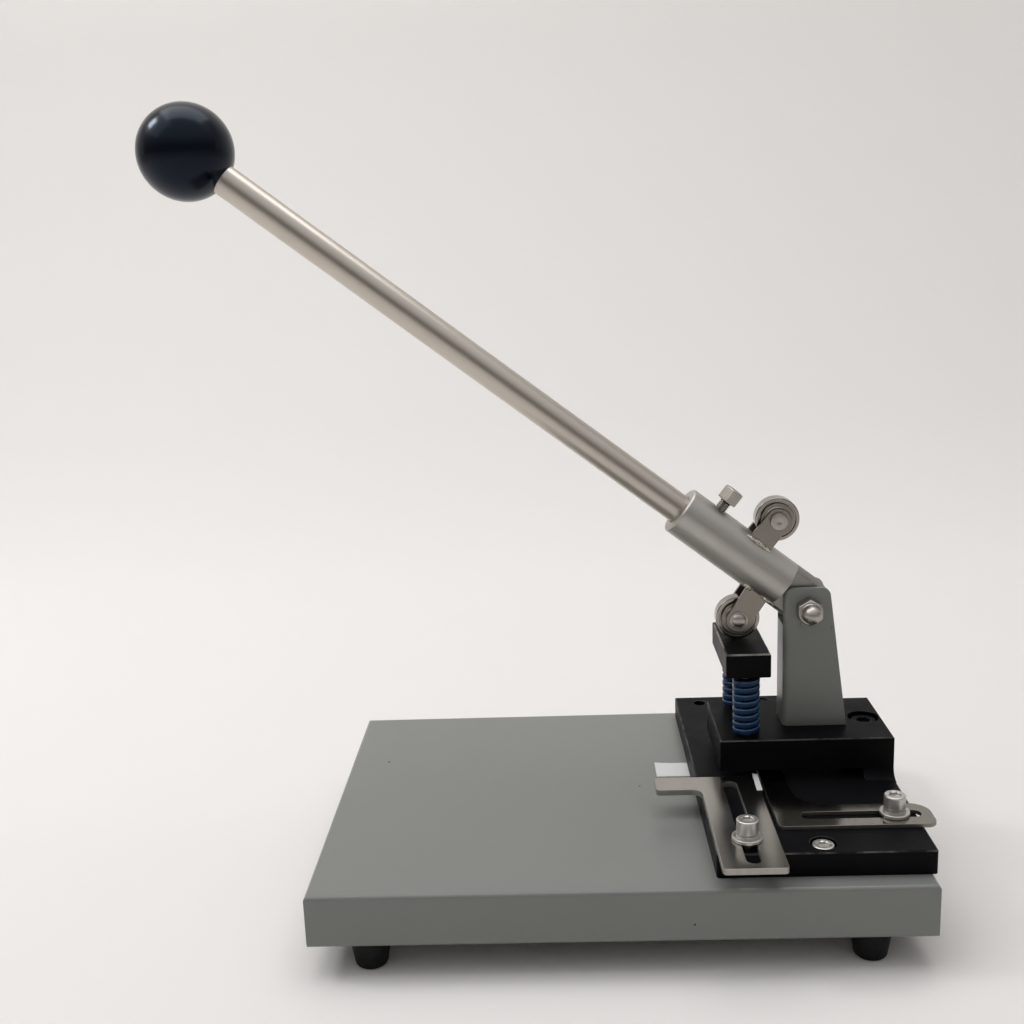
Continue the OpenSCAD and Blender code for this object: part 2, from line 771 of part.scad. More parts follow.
module fence_plate() {
    color(steel) translate([fence_x0, fence_y0, plate_top + slide_gap])
        linear_extrude(fence_t) fence_outline();
}

module end_stop_outline() {
    corner_r = 3;
    difference() {
        union() {
            translate([stop_leg_w / 2, stop_leg_l / 2]) rounded_rect(stop_leg_w, stop_leg_l, corner_r);
            translate([stop_arm_l / 2, stop_arm_w / 2]) intersection() {
                rounded_rect(stop_arm_l, stop_arm_w, corner_r);
                union() {
                    rounded_rect(stop_arm_l, stop_arm_w, stop_end_r);
                    translate([0, -stop_arm_w / 4]) rounded_rect(stop_arm_l, stop_arm_w / 2, stop_front_r);
                    translate([-stop_arm_l / 2, -stop_arm_w / 2]) square([stop_arm_l / 2, stop_arm_w]);
                }
            }
            translate([stop_leg_w, stop_arm_w]) corner_fill(stop_inner_r);
        }
        translate([stop_slot_end, stop_arm_w / 2]) slot_shape(stop_slot_l, stop_slot_w);
    }
}

module end_stop_plate() {
    color(steel) translate([stop_x0, stop_y0, plate_top + slide_gap])
        linear_extrude(stop_t) end_stop_outline();
}

// Screw with its two washers, standing on a stop plate of the given thickness
module at_stop_screw(spot, plate_thickness) {
    translate([spot[0], spot[1], plate_top + plate_thickness + 2 * slide_gap]) children();
}

module stop_bolt(plate_thickness) {
    stack = washer_t + lock_washer_t;
    translate([0, 0, stack]) cap_screw(screw_d, screw_head_d, screw_head_h, screw_socket,
        stack + plate_thickness + 2 * slide_gap + plate_t - 1);
}

module fence_screw_bolt() {
    color(bright) at_stop_screw(fence_screw, fence_t) stop_bolt(fence_t);
}

module stop_screw_bolt() {
    color(bright) at_stop_screw(stop_screw, stop_t) stop_bolt(stop_t);
}

module fence_washer() {
    color(bright) at_stop_screw(fence_screw, fence_t) washer(washer_d, screw_d + hole_clear, washer_t);
}

module stop_washer() {
    color(bright) at_stop_screw(stop_screw, stop_t) washer(washer_d, screw_d + hole_clear, washer_t);
}

module fence_lock_washer() {
    color(bright) at_stop_screw(fence_screw, fence_t) translate([0, 0, washer_t])
        lock_washer(lock_washer_d, screw_d + hole_clear, lock_washer_t);
}

module stop_lock_washer() {
    color(bright) at_stop_screw(stop_screw, stop_t) translate([0, 0, washer_t])
        lock_washer(lock_washer_d, screw_d + hole_clear, lock_washer_t);
}

// Punch slide

module crosshead() {
    color(block_black) difference() {
        translate([punch_x, centre_y, crosshead_z0]) intersection() {
            upright(-crosshead_l / 2, crosshead_l / 2) translate([0, crosshead_t / 2])
                rounded_rect(crosshead_w, crosshead_t, crosshead_r);
            along_x(crosshead_w + over) translate([0, crosshead_t / 2])
                rounded_rect(crosshead_l, crosshead_t, crosshead_r);
        }
        translate([punch_x, 0, crosshead_z0 - over]) {
            for (y = post_ys) translate([0, y, 0])
                cylinder(d = post_d + 2 * seat_clear, h = crosshead_socket + over);
            translate([0, centre_y, 0])
                cylinder(d = shank_d + 2 * seat_clear, h = crosshead_socket + over);
        }
    }
}

module guide_post(y) {
    lead = 0.8;
    top = crosshead_z0 + crosshead_socket - seat_clear - post_z;
    color(bright) translate([punch_x, y, post_z]) rotate_extrude()
        polygon([[0, 0], [post_d / 2 - lead, 0], [post_d / 2, lead], [post_d / 2, top], [0, top]]);
}

module guide_post_front() { guide_post(post_ys[0]); }
module guide_post_rear() { guide_post(post_ys[1]); }

// Punch: a shank in the crosshead and the block, and a tip of the hole's size
module punch_pin() {
    tip_l = press_stroke + 1;
    top = crosshead_z0 + crosshead_socket - seat_clear - tip_z;
    color(bright) translate([punch_x, centre_y, tip_z]) rotate_extrude()
        polygon([[0, 0], [punch_d / 2, 0], [punch_d / 2, tip_l], [shank_d / 2, tip_l + 1],
            [shank_d / 2, top], [0, top]]);
}

// Height of the wire's middle after a number of turns: closer turns at both ends
function wire_z(t) =
    let (end_pitch = wire_h + end_turn_gap,
        pitch = (spring_l - wire_h - 2 * end_pitch) / (spring_turns - 2))
    wire_h / 2 + (t < 1 ? t * end_pitch
        : t < spring_turns - 1 ? end_pitch + (t - 1) * pitch
        : spring_l - wire_h - (spring_turns - t) * end_pitch);

// Section of the flat wire, as offsets outwards and upwards
function wire_section() =
    let (out = wire_w / 2, crown = wire_h / 2, up = crown - wire_crown)
    [[-out, -up], [0, -crown], [out, -up], [out, up], [0, crown], [-out, up]];

function coil_points(rings_per_turn) =
    let (r = (spring_od - wire_w) / 2, last = spring_turns * rings_per_turn)
    [for (i = [0:last], p = wire_section())
        let (t = i / rings_per_turn, a = 360 * t)
        [(r + p[0]) * cos(a), (r + p[0]) * sin(a), wire_z(t) + p[1]]];

// Least distance between points of the wire that are over half a turn apart
function least_gap(points, rings_per_turn) =
    let (sides = 6, first = ceil(rings_per_turn / 2) * sides, span = 2 * rings_per_turn * sides,
        count = len(points))
    min([for (i = [0:count - first - 1], j = [i + first:min(i + span, count - 1)])
        norm(points[i] - points[j])]);

module coil_spring() {
    rings_per_turn = 8;
    sides = 6;
    points = coil_points(rings_per_turn);
    rings = len(points) / sides;
    walls = [for (i = [0:rings - 2], k = [0:sides - 1])
        let (a = i * sides + k, b = i * sides + (k + 1) % sides)
        each [[a, b, b + sides], [a, b + sides, a + sides]]];
    caps = [for (k = [1:sides - 2])
        each [[0, k + 1, k], [(rings - 1) * sides, (rings - 1) * sides + k, (rings - 1) * sides + k + 1]]];
    echo(least_gap_of_spring = least_gap(points, rings_per_turn));
    polyhedron(points, concat(walls, caps));
}

module return_spring(y) {
    color(spring_blue) translate([punch_x, y, block_top + slide_gap]) coil_spring();
}

module return_spring_front() { return_spring(post_ys[0]); }
module return_spring_rear() { return_spring(post_ys[1]); }

// Pivot

module at_pivot() {
    translate([pivot_x, centre_y, pivot_z]) children();
}

module pivot_bolt() {
    front = -bracket_w / 2 - slide_gap - nut_bore_l + run_clear;
    rear = bracket_w / 2 + washer_t + 2 * slide_gap;
    head_h = 0.65 * pivot_d;
    color(bright) at_pivot() {
        y_cylinder(pivot_d, front, rear);
        translate([0, rear, 0]) rotate([-90, 30, 0]) hexagon(pivot_af, head_h);
    }
}

module pivot_washer() {
    color(bright) at_pivot() translate([0, bracket_w / 2 + slide_gap, 0]) rotate([-90, 0, 0])
        washer(2 * pivot_d, pivot_d + hole_clear, washer_t);
}

// Dome nut: hexagon, short collar and dome over a blind thread
module pivot_nut() {
    dome_r = nut_dome_d / 2;
    color(bright) at_pivot() translate([0, -bracket_w / 2 - slide_gap, 0]) rotate([90, 0, 0]) difference() {
        union() {
            rotate(30) hexagon(pivot_af, nut_hex_h);
            cylinder(r = dome_r, h = nut_hex_h + 2);
            translate([0, 0, nut_hex_h + 2]) intersection() {
                sphere(dome_r);
                cylinder(r = dome_r, h = dome_r);
            }
        }
        translate([0, 0, -over]) cylinder(d = pivot_d + 2 * seat_clear, h = nut_bore_l + over);
    }
}

// Lever

// The round bar about its own axis: bored for the rod at the left, solid at the right
module lever_bar() {
    r = bar_d / 2;
    bore_r = rod_d / 2 + run_clear;
    edge = 0.8;
    rotate([0, 90, 0]) rotate_extrude() polygon([[bore_r, -bar_l], [r - edge, -bar_l],
        [r, -bar_l + edge], [r, tongue_end], [0, tongue_end], [0, -bar_l + rod_socket], [bore_r, -bar_l + rod_socket]]);
}

module lever_head() {
    r = bar_d / 2;
    reach = bar_l + bar_d;
    color(steel) on_lever() difference() {
        translate([0, 0, pivot_drop]) difference() {
            lever_bar();
            for (side = [-1, 1])
                translate([reach / 2 - tongue_shoulder, side * (tongue_t + reach) / 2, 0])
                    cube(reach, center = true);
            translate([tongue_end - r, 0, 0]) difference() {
                translate([0, -reach / 2, -reach / 2]) cube(reach);
                y_cylinder(bar_d, -reach, reach);
            }
            translate([-clamp_reach, 0, 0]) cylinder(d = clamp_d + 2 * seat_clear, h = bar_d);
        }
        y_cylinder(pivot_d + 2 * run_clear, -bar_d, bar_d);
    }
}

module handle_rod() {
    start = knob_reach - knob_flat_x;
    socket_end = bar_l - rod_socket + seat_clear;
    color(steel) on_lever() translate([-start, 0, pivot_drop]) rotate([0, 90, 0]) rotate_extrude()
        polygon([[0, -rod_stud_l], [rod_stud_d / 2, -rod_stud_l], [rod_stud_d / 2, 0],
            [rod_d / 2, 0], [rod_d / 2, start - socket_end], [0, start - socket_end]]);
}

// Moves to the knob's centre, with X towards the rod
module at_knob() {
    on_lever() translate([-knob_reach, 0, pivot_drop]) children();
}

module ball_knob() {
    insert_d = rod_stud_d + 2 * insert_wall;
    color(knob_black) at_knob() difference() {
        sphere(d = knob_d);
        translate([knob_flat_x, -knob_d / 2, -knob_d / 2]) cube(knob_d);
        translate([knob_flat_x - rod_stud_l - insert_wall, 0, 0]) rotate([0, 90, 0])
            cylinder(d = insert_d + 2 * seat_clear, h = knob_d);
    }
}

module knob_insert() {
    l = rod_stud_l + insert_wall - seat_clear;
    bore_r = rod_stud_d / 2 + seat_clear;
    color(brass) at_knob() translate([knob_flat_x - l, 0, 0]) rotate([0, 90, 0]) rotate_extrude()
        polygon([[0, 0], [rod_stud_d / 2 + insert_wall, 0], [rod_stud_d / 2 + insert_wall, l],
            [bore_r, l], [bore_r, l - rod_stud_l - seat_clear], [0, l - rod_stud_l - seat_clear]]);
}

module clamp_bolt() {
    tip = rod_d / 2 + seat_clear;
    head = bar_d / 2 + clamp_neck;
    color(steel) on_lever() translate([-clamp_reach, 0, pivot_drop]) {
        translate([0, 0, tip]) cylinder(d = clamp_d, h = head - tip);
        translate([0, 0, head]) rotate(15) hexagon(clamp_af, clamp_head_h);
    }
}

// Fork plate with its round end at the pin and its root above it, on the bar.
// The root may be shifted along the bar.
module fork_plate(reach, root_shift, side) {
    r = fork_w / 2;
    root_r = r + fork_flare;
    inner = side * (fork_gap / 2 + fork_sheet / 2);
    upright(inner - fork_sheet / 2, inner + fork_sheet / 2) {
        circle(r);
        polygon([[-r, 0], [r, 0], [root_r - root_shift, reach], [-root_r - root_shift, reach]]);
    }
}

module bar_cut() {
    on_lever() translate([-bar_l, 0, pivot_drop]) rotate([0, 90, 0])
        cylinder(d = bar_d + 2 * seat_clear, h = bar_l);
}

module lower_fork(side) {
    color(steel) difference() {
        at_lower_pin() difference() {
            fork_plate(lower_drop + pivot_drop, lower_root_shift, side);
            y_cylinder(pin_d + 2 * seat_clear, -fork_outer, fork_outer);
        }
        bar_cut();
    }
}

module upper_fork(side) {
    color(steel) difference() {
        at_upper_pin() difference() {
            rotate([0, 180, 0]) fork_plate(upper_rise - pivot_drop, 0, side);
            y_cylinder(pin_d + 2 * seat_clear, -fork_outer, fork_outer);
        }
        bar_cut();
    }
}

module lower_fork_front() { lower_fork(-1); }
module lower_fork_rear() { lower_fork(1); }
module upper_fork_front() { upper_fork(-1); }
module upper_fork_rear() { upper_fork(1); }

// Roller pin: plain shaft with a chamfered end on both sides of its fork
module roller_pin() {
    edge = 0.6;
    half = fork_outer / 2 + pin_proud;
    color(bright) rotate([90, 0, 0]) rotate_extrude() polygon([[0, -half], [pin_d / 2 - edge, -half],
        [pin_d / 2, edge - half], [pin_d / 2, half - edge], [pin_d / 2 - edge, half], [0, half]]);
}

module lower_pin() { at_lower_pin() roller_pin(); }
module upper_pin() { at_upper_pin() roller_pin(); }

module side_washers() {
    for (side = [-1, 1]) rotate([90, 0, 0])
        translate([0, 0, side * (roller_w + side_washer_t + slide_gap) / 2 - side_washer_t / 2])
            washer(side_washer_d, pin_d + 2 * seat_clear, side_washer_t);
}

module lower_side_washers() { color(steel) at_lower_pin() side_washers(); }
module upper_side_washers() { color(steel) at_upper_pin() side_washers(); }

module inner_ring() {
    rotate([90, 0, 0]) translate([0, 0, -roller_w / 2])
        washer(inner_ring_d, pin_d + 2 * seat_clear, roller_w);
}

module lower_inner_ring() { color(steel) at_lower_pin() inner_ring(); }
module upper_inner_ring() { color(steel) at_upper_pin() inner_ring(); }

// Roller: a bearing's outer ring with chamfered rims, and its two recessed shields
module roller() {
    half = roller_w / 2;
    edge = 0.5;
    recess = 0.6;
    rim_r = roller_d / 2 - 1.8;
    bore_r = inner_ring_d / 2 + run_clear;
    rotate([90, 0, 0]) rotate_extrude() polygon([[bore_r, -half + recess], [rim_r, -half + recess],
        [rim_r, -half], [roller_d / 2 - edge, -half], [roller_d / 2, -half + edge],
        [roller_d / 2, half - edge], [roller_d / 2 - edge, half], [rim_r, half],
        [rim_r, half - recess], [bore_r, half - recess]]);
}

module lower_roller() { color(steel) at_lower_pin() roller(); }
module upper_roller() { color(steel) at_upper_pin() roller(); }

base_tray();
foot_front_left();
foot_front_right();
foot_rear_left();
foot_rear_right();
foot_screws();
foot_nuts();
die_block();
die_bush();
plate_screws();
block_screw();
block_nuts();
backing_plate();
lever_bracket();
bracket_screws();
fence_plate();
fence_screw_bolt();
fence_lock_washer();
fence_washer();
end_stop_plate();
stop_screw_bolt();
stop_lock_washer();
stop_washer();
crosshead();
guide_post_front();
guide_post_rear();
punch_pin();
return_spring_front();
return_spring_rear();
pivot_bolt();
pivot_washer();
pivot_nut();
lever_head();
handle_rod();
ball_knob();
knob_insert();
clamp_bolt();
lower_fork_front();
lower_fork_rear();
upper_fork_front();
upper_fork_rear();
lower_pin();
upper_pin();
lower_side_washers();
upper_side_washers();
lower_inner_ring();
upper_inner_ring();
lower_roller();
upper_roller();
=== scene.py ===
"""Looks of a desk lever press punch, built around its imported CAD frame. Lengths in mm unless said."""
import json
import math

import bmesh
import bpy
from mathutils import Matrix, Vector, noise

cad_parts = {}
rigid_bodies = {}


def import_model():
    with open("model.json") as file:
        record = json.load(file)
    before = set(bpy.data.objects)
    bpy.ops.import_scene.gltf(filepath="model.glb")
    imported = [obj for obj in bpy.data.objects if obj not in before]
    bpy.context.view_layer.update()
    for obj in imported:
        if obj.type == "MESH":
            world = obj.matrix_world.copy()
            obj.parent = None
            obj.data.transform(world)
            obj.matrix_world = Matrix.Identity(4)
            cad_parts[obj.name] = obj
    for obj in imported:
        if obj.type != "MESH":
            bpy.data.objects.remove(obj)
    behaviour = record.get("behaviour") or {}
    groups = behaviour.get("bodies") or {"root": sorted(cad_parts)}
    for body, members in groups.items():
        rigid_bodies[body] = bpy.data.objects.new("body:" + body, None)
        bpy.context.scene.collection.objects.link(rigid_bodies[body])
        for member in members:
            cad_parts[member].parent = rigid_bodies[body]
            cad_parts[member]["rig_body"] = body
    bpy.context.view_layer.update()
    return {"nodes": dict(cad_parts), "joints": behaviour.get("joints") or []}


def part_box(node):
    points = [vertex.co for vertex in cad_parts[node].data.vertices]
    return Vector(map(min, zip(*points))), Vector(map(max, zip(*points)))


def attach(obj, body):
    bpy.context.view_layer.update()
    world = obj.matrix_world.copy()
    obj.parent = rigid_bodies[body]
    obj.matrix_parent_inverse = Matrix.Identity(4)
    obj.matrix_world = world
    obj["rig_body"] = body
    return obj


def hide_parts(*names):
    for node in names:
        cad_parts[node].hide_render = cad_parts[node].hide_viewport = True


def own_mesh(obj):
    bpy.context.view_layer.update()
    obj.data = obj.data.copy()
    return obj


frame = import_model()
nodes = frame["nodes"]
joints = {j["name"]: j for j in frame["joints"]}

MM = 0.001
TILT = math.radians(38)
PIVOT = Vector(joints["lever_press"]["pos_m"])
LOWER = Vector(joints["lower_roller_spin"]["pos_m"])
UPPER = Vector(joints["upper_roller_spin"]["pos_m"])
# The local Z of a piece turned by FACING points to the front of the press
FACING = Matrix.Rotation(math.radians(90), 4, "X")
# Lever frame: origin on the pivot, X along the bar to the right, Z across it and up
ON_LEVER = Matrix.Translation(PIVOT) @ Matrix.Rotation(TILT, 4, "Y")
BAR_R = 12.5
BAR_RISE = 1.6
# The bar's milled flats start here, in lever coordinates
FLATS_FROM = -15.8


def box_mm(node):
    """Lowest and highest corner of a CAD node, in mm."""
    low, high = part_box(node)
    return low / MM, high / MM


def on_lever(point):
    """Lever coordinates, in mm, of a point in metres."""
    return ON_LEVER.inverted() @ point / MM


# Node trees

class Nodes:
    """A node tree, with short calls for the nodes that a surface or the world needs."""

    def __init__(self, tree):
        self.tree = tree

    def put(self, node, socket, value):
        """Links a socket to another one's output, or sets its value."""
        target = node.inputs[socket]
        if isinstance(value, bpy.types.NodeSocket):
            self.tree.links.new(value, target)
        elif isinstance(value, (tuple, list)) and target.type == "RGBA":
            target.default_value = (*value, 1)[:4]
        else:
            target.default_value = value

    def node(self, kind, settings=None, **sockets):
        """A new node. A socket is given by its name, or by its number, as i0, i1 and so on."""
        made = self.tree.nodes.new("ShaderNode" + kind)
        for key, value in (settings or {}).items():
            setattr(made, key, value)
        for key, value in sockets.items():
            self.put(made, int(key[1:]) if key[0] == "i" and key[1:].isdigit() else key, value)
        return made

    def ramp(self, factor, *stops):
        """Colour ramp. A stop is its position and a grey level or a colour."""
        made = self.node("ValToRGB", Fac=factor)
        line = made.color_ramp
        while len(line.elements) < len(stops):
            line.elements.new(0.5)
        for element, (position, value) in zip(line.elements, stops):
            element.position = position
            element.color = (*((value,) * 3 if isinstance(value, (int, float)) else value), 1)
        return made.outputs["Color"]

    def math(self, operation, *values):
        sockets = {f"i{k}": value for k, value in enumerate(values)}
        return self.node("Math", {"operation": operation}, **sockets).outputs[0]

    def seen(self):
        """1 for what the camera sees, also in reflections and through glass, and 0 for light on objects."""
        path = self.node("LightPath").outputs
        straight = self.math("MAXIMUM", path["Is Camera Ray"], path["Is Glossy Ray"])
        return self.math("MAXIMUM", straight, path["Is Transmission Ray"])


class Shader(Nodes):
    """A material and the textures of its surface."""

    def __init__(self, name, **values):
        self.material = bpy.data.materials.new(name)
        self.material.use_nodes = True
        super().__init__(self.material.node_tree)
        self.bsdf = next(n for n in self.tree.nodes if n.type == "BSDF_PRINCIPLED")
        self.finish(**values)

    def place(self, scale=(1, 1, 1), turn=0):
        """Object coordinates in metres, turned about Y and stretched."""
        where = self.node("TexCoord").outputs["Object"]
        if turn:
            where = self.node("Mapping", Vector=where, Rotation=(0, turn, 0)).outputs[0]
        return self.node("Mapping", Vector=where, Scale=scale).outputs[0]

    def noise(self, scale, detail=3, rough=0.55, at=None):
        made = self.node("TexNoise", Scale=scale, Detail=detail, Roughness=rough)
        self.put(made, "Vector", at if at is not None else self.place())
        return made.outputs["Fac"]

    def mix(self, factor, a, b):
        return self.node("Mix", {"data_type": "RGBA"}, i0=factor, i6=a, i7=b).outputs[2]

    def bump(self, height, strength, depth):
        return self.node("Bump", Strength=strength, Distance=depth, Height=height).outputs[0]

    def edge(self):
        """How much rubbed wear and painted highlight a face carries, from 0 to 1."""
        return self.node("Attribute", {"attribute_name": "edge"}).outputs["Fac"]

    def finish(self, **sockets):
        """Sets or links sockets of the surface, such as base_color, and gives the material."""
        for key, value in sockets.items():
            self.put(self.bsdf, key.replace("_", " ").title().replace("Ior", "IOR"), value)
        return self.material


def shades(colour, *factors):
    """The colour in several strengths."""
    return [[c * f for c in colour] for f in factors]


def paint(name, light, dark, scuffs=0.0, specks=()):
    """Grey stove enamel: soft cloudiness, faint orange peel, a few scuffs and dark specks."""
    s = Shader(name, specular_ior_level=0.4)
    colour = s.mix(s.ramp(s.noise(14, 2), (0.3, 0), (0.7, 1)), dark, light)
    scuff = s.ramp(s.noise(150, 6, 0.75, s.place((1, 1, 0.45))), (0.64, 0), (0.7, scuffs))
    colour = s.mix(scuff, colour, (0.05, 0.05, 0.047))
    for x, y, z, r in specks:
        here = s.node("VectorMath", {"operation": "DISTANCE"}, i0=s.place(), i1=(x * MM, y * MM, z * MM))
        colour = s.mix(s.math("LESS_THAN", here.outputs["Value"], r * MM), colour, (0.02, 0.018, 0.015))
    return s.finish(
        base_color=colour,
        roughness=s.ramp(s.noise(9, 2), (0.35, 0.285), (0.65, 0.32)),
        normal=s.bump(s.noise(420, 2), 0.05, 0.00005),
    )


def black_steel():
    """Black oxide steel, satin, with its upper edges lighter: partly rubbed bright, partly a painted
    highlight.
    """
    s = Shader("black_steel", specular_ior_level=0.035)
    # Upper edges painted light: partly rubbed wear, partly a painted highlight where light catches them
    wear_and_highlight = s.math("MULTIPLY", s.edge(), s.ramp(s.noise(90, 4), (0.4, 0.06), (0.6, 0.8)))
    cloud = s.ramp(s.noise(40, 5), (0.3, 0), (0.75, 1))
    colour = s.mix(cloud, (0.0045, 0.0046, 0.0055), (0.008, 0.008, 0.0095))
    scuff = s.ramp(s.noise(420, 4, 0.7), (0.68, 0), (0.76, 0.4))
    return s.finish(
        base_color=s.mix(wear_and_highlight, s.mix(scuff, colour, (0.03, 0.03, 0.031)), (0.36, 0.34, 0.31)),
        roughness=s.ramp(s.noise(70, 5), (0.3, 0.33), (0.7, 0.44)),
        normal=s.bump(s.noise(1300, 3), 0.05, 0.00004),
    )


def drawn_steel(name, colour, along, rough, marks=0.25, flats_from=None):
    """Steel on the lever with fine lines and faint handling marks, with painted shade from where its milled
    flats start.
    """
    s = Shader(name, metallic=1.0)
    lines = s.noise(260, 3, 0.5, s.place(along, -TILT))
    blotch = s.noise(45, 5)
    full, dull, worn, shaded_end = shades(colour, 1, 0.9, 0.75, 0.55)
    tone = s.mix(s.ramp(lines, (0.3, 0), (0.7, 1)), dull, full)
    tone = s.mix(s.ramp(blotch, (0.5, 0), (0.85, marks)), tone, worn)
    # Painted shade: the bar is darker from where its milled flats start
    if flats_from is not None:
        reach = s.node("SeparateXYZ", Vector=s.place(turn=-TILT)).outputs["X"]
        start = (Matrix.Rotation(-TILT, 4, "Y") @ PIVOT).x + flats_from * MM
        tone = s.mix(s.math("GREATER_THAN", reach, start), tone, shaded_end)
    haze = s.ramp(blotch, (0.45, 0), (0.8, 0.05))
    return s.finish(
        base_color=tone,
        roughness=s.math("ADD", s.ramp(lines, (0.25, rough[0]), (0.75, rough[1])), haze),
        normal=s.bump(lines, 0.04, 0.00003),
    )


def cut_sheet(name, colour, rough):
    """Rolled sheet steel: fine lines on its flats, matt cut edges."""
    s = Shader(name, metallic=1.0)
    up = s.node("SeparateXYZ", Vector=s.node("NewGeometry").outputs["Normal"]).outputs["Z"]
    side = s.ramp(s.math("ABSOLUTE", up), (0.3, 1), (0.75, 0))
    lines = s.noise(200, 3, 0.5, s.place((1, 0.03, 1)))
    cut = s.noise(320, 3, 0.6, s.place((1, 1, 0.08)))
    full, dull, deep = shades(colour, 1, 0.94, 0.9)
    flat = s.mix(s.ramp(lines, (0.3, 0), (0.7, 1)), dull, full)
    edge = s.mix(s.ramp(cut, (0.35, 0), (0.65, 1)), deep, full)
    haze = s.ramp(s.noise(35, 3), (0.4, 0), (0.75, 0.04))
    gloss = s.math("ADD", s.ramp(lines, (0.25, rough[0]), (0.75, rough[1])), haze)
    return s.finish(
        base_color=s.mix(side, flat, edge),
        roughness=s.math("MAXIMUM", gloss, s.math("MULTIPLY", side, 0.5)),
        normal=s.bump(s.mix(side, lines, cut), 0.06, 0.00004),
    )


def plated(name, colour, rough, metallic=1.0):
    """Zinc plated or turned small parts: bright, with a soft satin coat."""
    s = Shader(name, metallic=metallic)
    grain = s.noise(500, 3, 0.6)
    full, dull = shades(colour, 1, 0.84)
    return s.finish(
        base_color=s.mix(s.ramp(s.noise(160, 4), (0.35, 0), (0.7, 1)), dull, full),
        roughness=s.ramp(grain, (0.3, rough), (0.7, rough + 0.1)),
        normal=s.bump(grain, 0.05, 0.00004),
    )


def gloss_plastic():
    """Moulded black phenolic ball, polished, with handling haze."""
    s = Shader("knob_plastic", base_color=(0.002, 0.0035, 0.0075), specular_ior_level=0.26,
               specular_tint=(0.6, 0.77, 1))
    return s.finish(
        roughness=s.ramp(s.noise(55, 5, 0.6), (0.35, 0.16), (0.7, 0.22)),
        normal=s.bump(s.noise(300, 2), 0.04, 0.00004),
    )


def rubber():
    """Black rubber with a little dust."""
    s = Shader("foot_rubber", specular_ior_level=0.2)
    dust = s.ramp(s.noise(180, 5, 0.7), (0.5, 0), (0.75, 0.35))
    return s.finish(
        base_color=s.mix(dust, (0.004, 0.004, 0.0045), (0.013, 0.013, 0.0125)),
        roughness=s.ramp(s.noise(240, 4), (0.3, 0.5), (0.7, 0.68)),
        normal=s.bump(s.noise(900, 3), 0.25, 0.00008),
    )


def spring_paint():
    """Blue enamel on flat wire, with a painted highlight along the upper corners."""
    s = Shader("spring_paint", specular_ior_level=0.25)
    # Painted highlight: a pale blue line on the wire's upper outer corners
    painted_highlight = s.math("MULTIPLY", s.edge(), s.ramp(s.noise(420, 3), (0.3, 0.5), (0.6, 0.95)))
    cloud = s.ramp(s.noise(110, 3), (0.3, 0), (0.7, 1))
    colour = s.mix(cloud, (0.0005, 0.013, 0.052), (0.001, 0.025, 0.09))
    return s.finish(
        base_color=s.mix(painted_highlight, colour, (0.06, 0.165, 0.28)),
        roughness=s.ramp(s.noise(300, 3), (0.3, 0.28), (0.7, 0.38)),
        normal=s.bump(s.noise(800, 2), 0.1, 0.00005),
    )


def paper():
    """White paper with a faint fibre."""
    s = Shader("sticker_paper", specular_ior_level=0.3)
    fibre = s.noise(1500, 4, 0.7)
    return s.finish(
        base_color=s.mix(s.ramp(fibre, (0.35, 0), (0.7, 1)), (0.7, 0.7, 0.68), (0.8, 0.8, 0.79)),
        roughness=s.ramp(fibre, (0.3, 0.55), (0.7, 0.7)),
        normal=s.bump(fibre, 0.15, 0.00005),
    )


def weld_metal():
    """Weld bead: lumpy, brown in its hollows and bright on its crests."""
    s = Shader("weld_metal", metallic=1.0)
    lump = s.noise(600, 4, 0.6)
    return s.finish(
        base_color=s.mix(s.ramp(lump, (0.35, 0), (0.65, 1)), (0.36, 0.31, 0.26), (0.72, 0.68, 0.62)),
        roughness=s.ramp(lump, (0.3, 0.22), (0.7, 0.4)),
        normal=s.bump(lump, 0.3, 0.0001),
    )


STEEL = (0.52, 0.495, 0.465)
NICKEL = (0.55, 0.505, 0.45)
DULL_STEEL = (0.27, 0.243, 0.216)
TURNED_STEEL = (0.36, 0.332, 0.3)
ZINC = (0.62, 0.6, 0.57)
PIN_STEEL = (0.46, 0.43, 0.395)
FENCE_STEEL = (0.425, 0.408, 0.375)
STOP_STEEL = (0.29, 0.277, 0.25)
BRASS = (0.6, 0.42, 0.16)
# Light and dark cloud of the paints
TRAY_GREY = ((0.219, 0.226, 0.211), (0.214, 0.221, 0.206))
BRACKET_GREY = ((0.242, 0.25, 0.231), (0.222, 0.23, 0.213))
TRAY_TOP = box_mm("base_tray")[1].z
# Dark specks in the tray's paint: place and radius
TRAY_SPECKS = ((-119.7, 40.1, TRAY_TOP, 0.8), (16.4, 2.8, TRAY_TOP, 0.6), (33, -102.5, 23, 0.5))

tray_paint = paint("tray_paint", *TRAY_GREY, specks=TRAY_SPECKS)
bracket_paint = paint("bracket_paint", *BRACKET_GREY, scuffs=0.55)
black = black_steel()
bar_steel = drawn_steel("bar_steel", STEEL, (0.02, 1, 1), (0.4, 0.46), flats_from=FLATS_FROM)
rod_steel = drawn_steel("rod_steel", NICKEL, (0.012, 1, 1), (0.28, 0.32), marks=0.3)
fork_steel = drawn_steel("fork_steel", DULL_STEEL, (1, 1, 0.05), (0.28, 0.36))
fence_steel = cut_sheet("fence_steel", FENCE_STEEL, (0.17, 0.22))
stop_steel = cut_sheet("stop_steel", STOP_STEEL, (0.12, 0.16))
ring_steel = plated("ring_steel", TURNED_STEEL, 0.11)
pin_steel = plated("pin_steel", PIN_STEEL, 0.3)
zinc = plated("bright_steel", ZINC, 0.28, metallic=0.9)
brass = plated("brass", BRASS, 0.25)
knob_black = gloss_plastic()
rubber_black = rubber()
blue = spring_paint()
white_paper = paper()
weld = weld_metal()


# Meshes

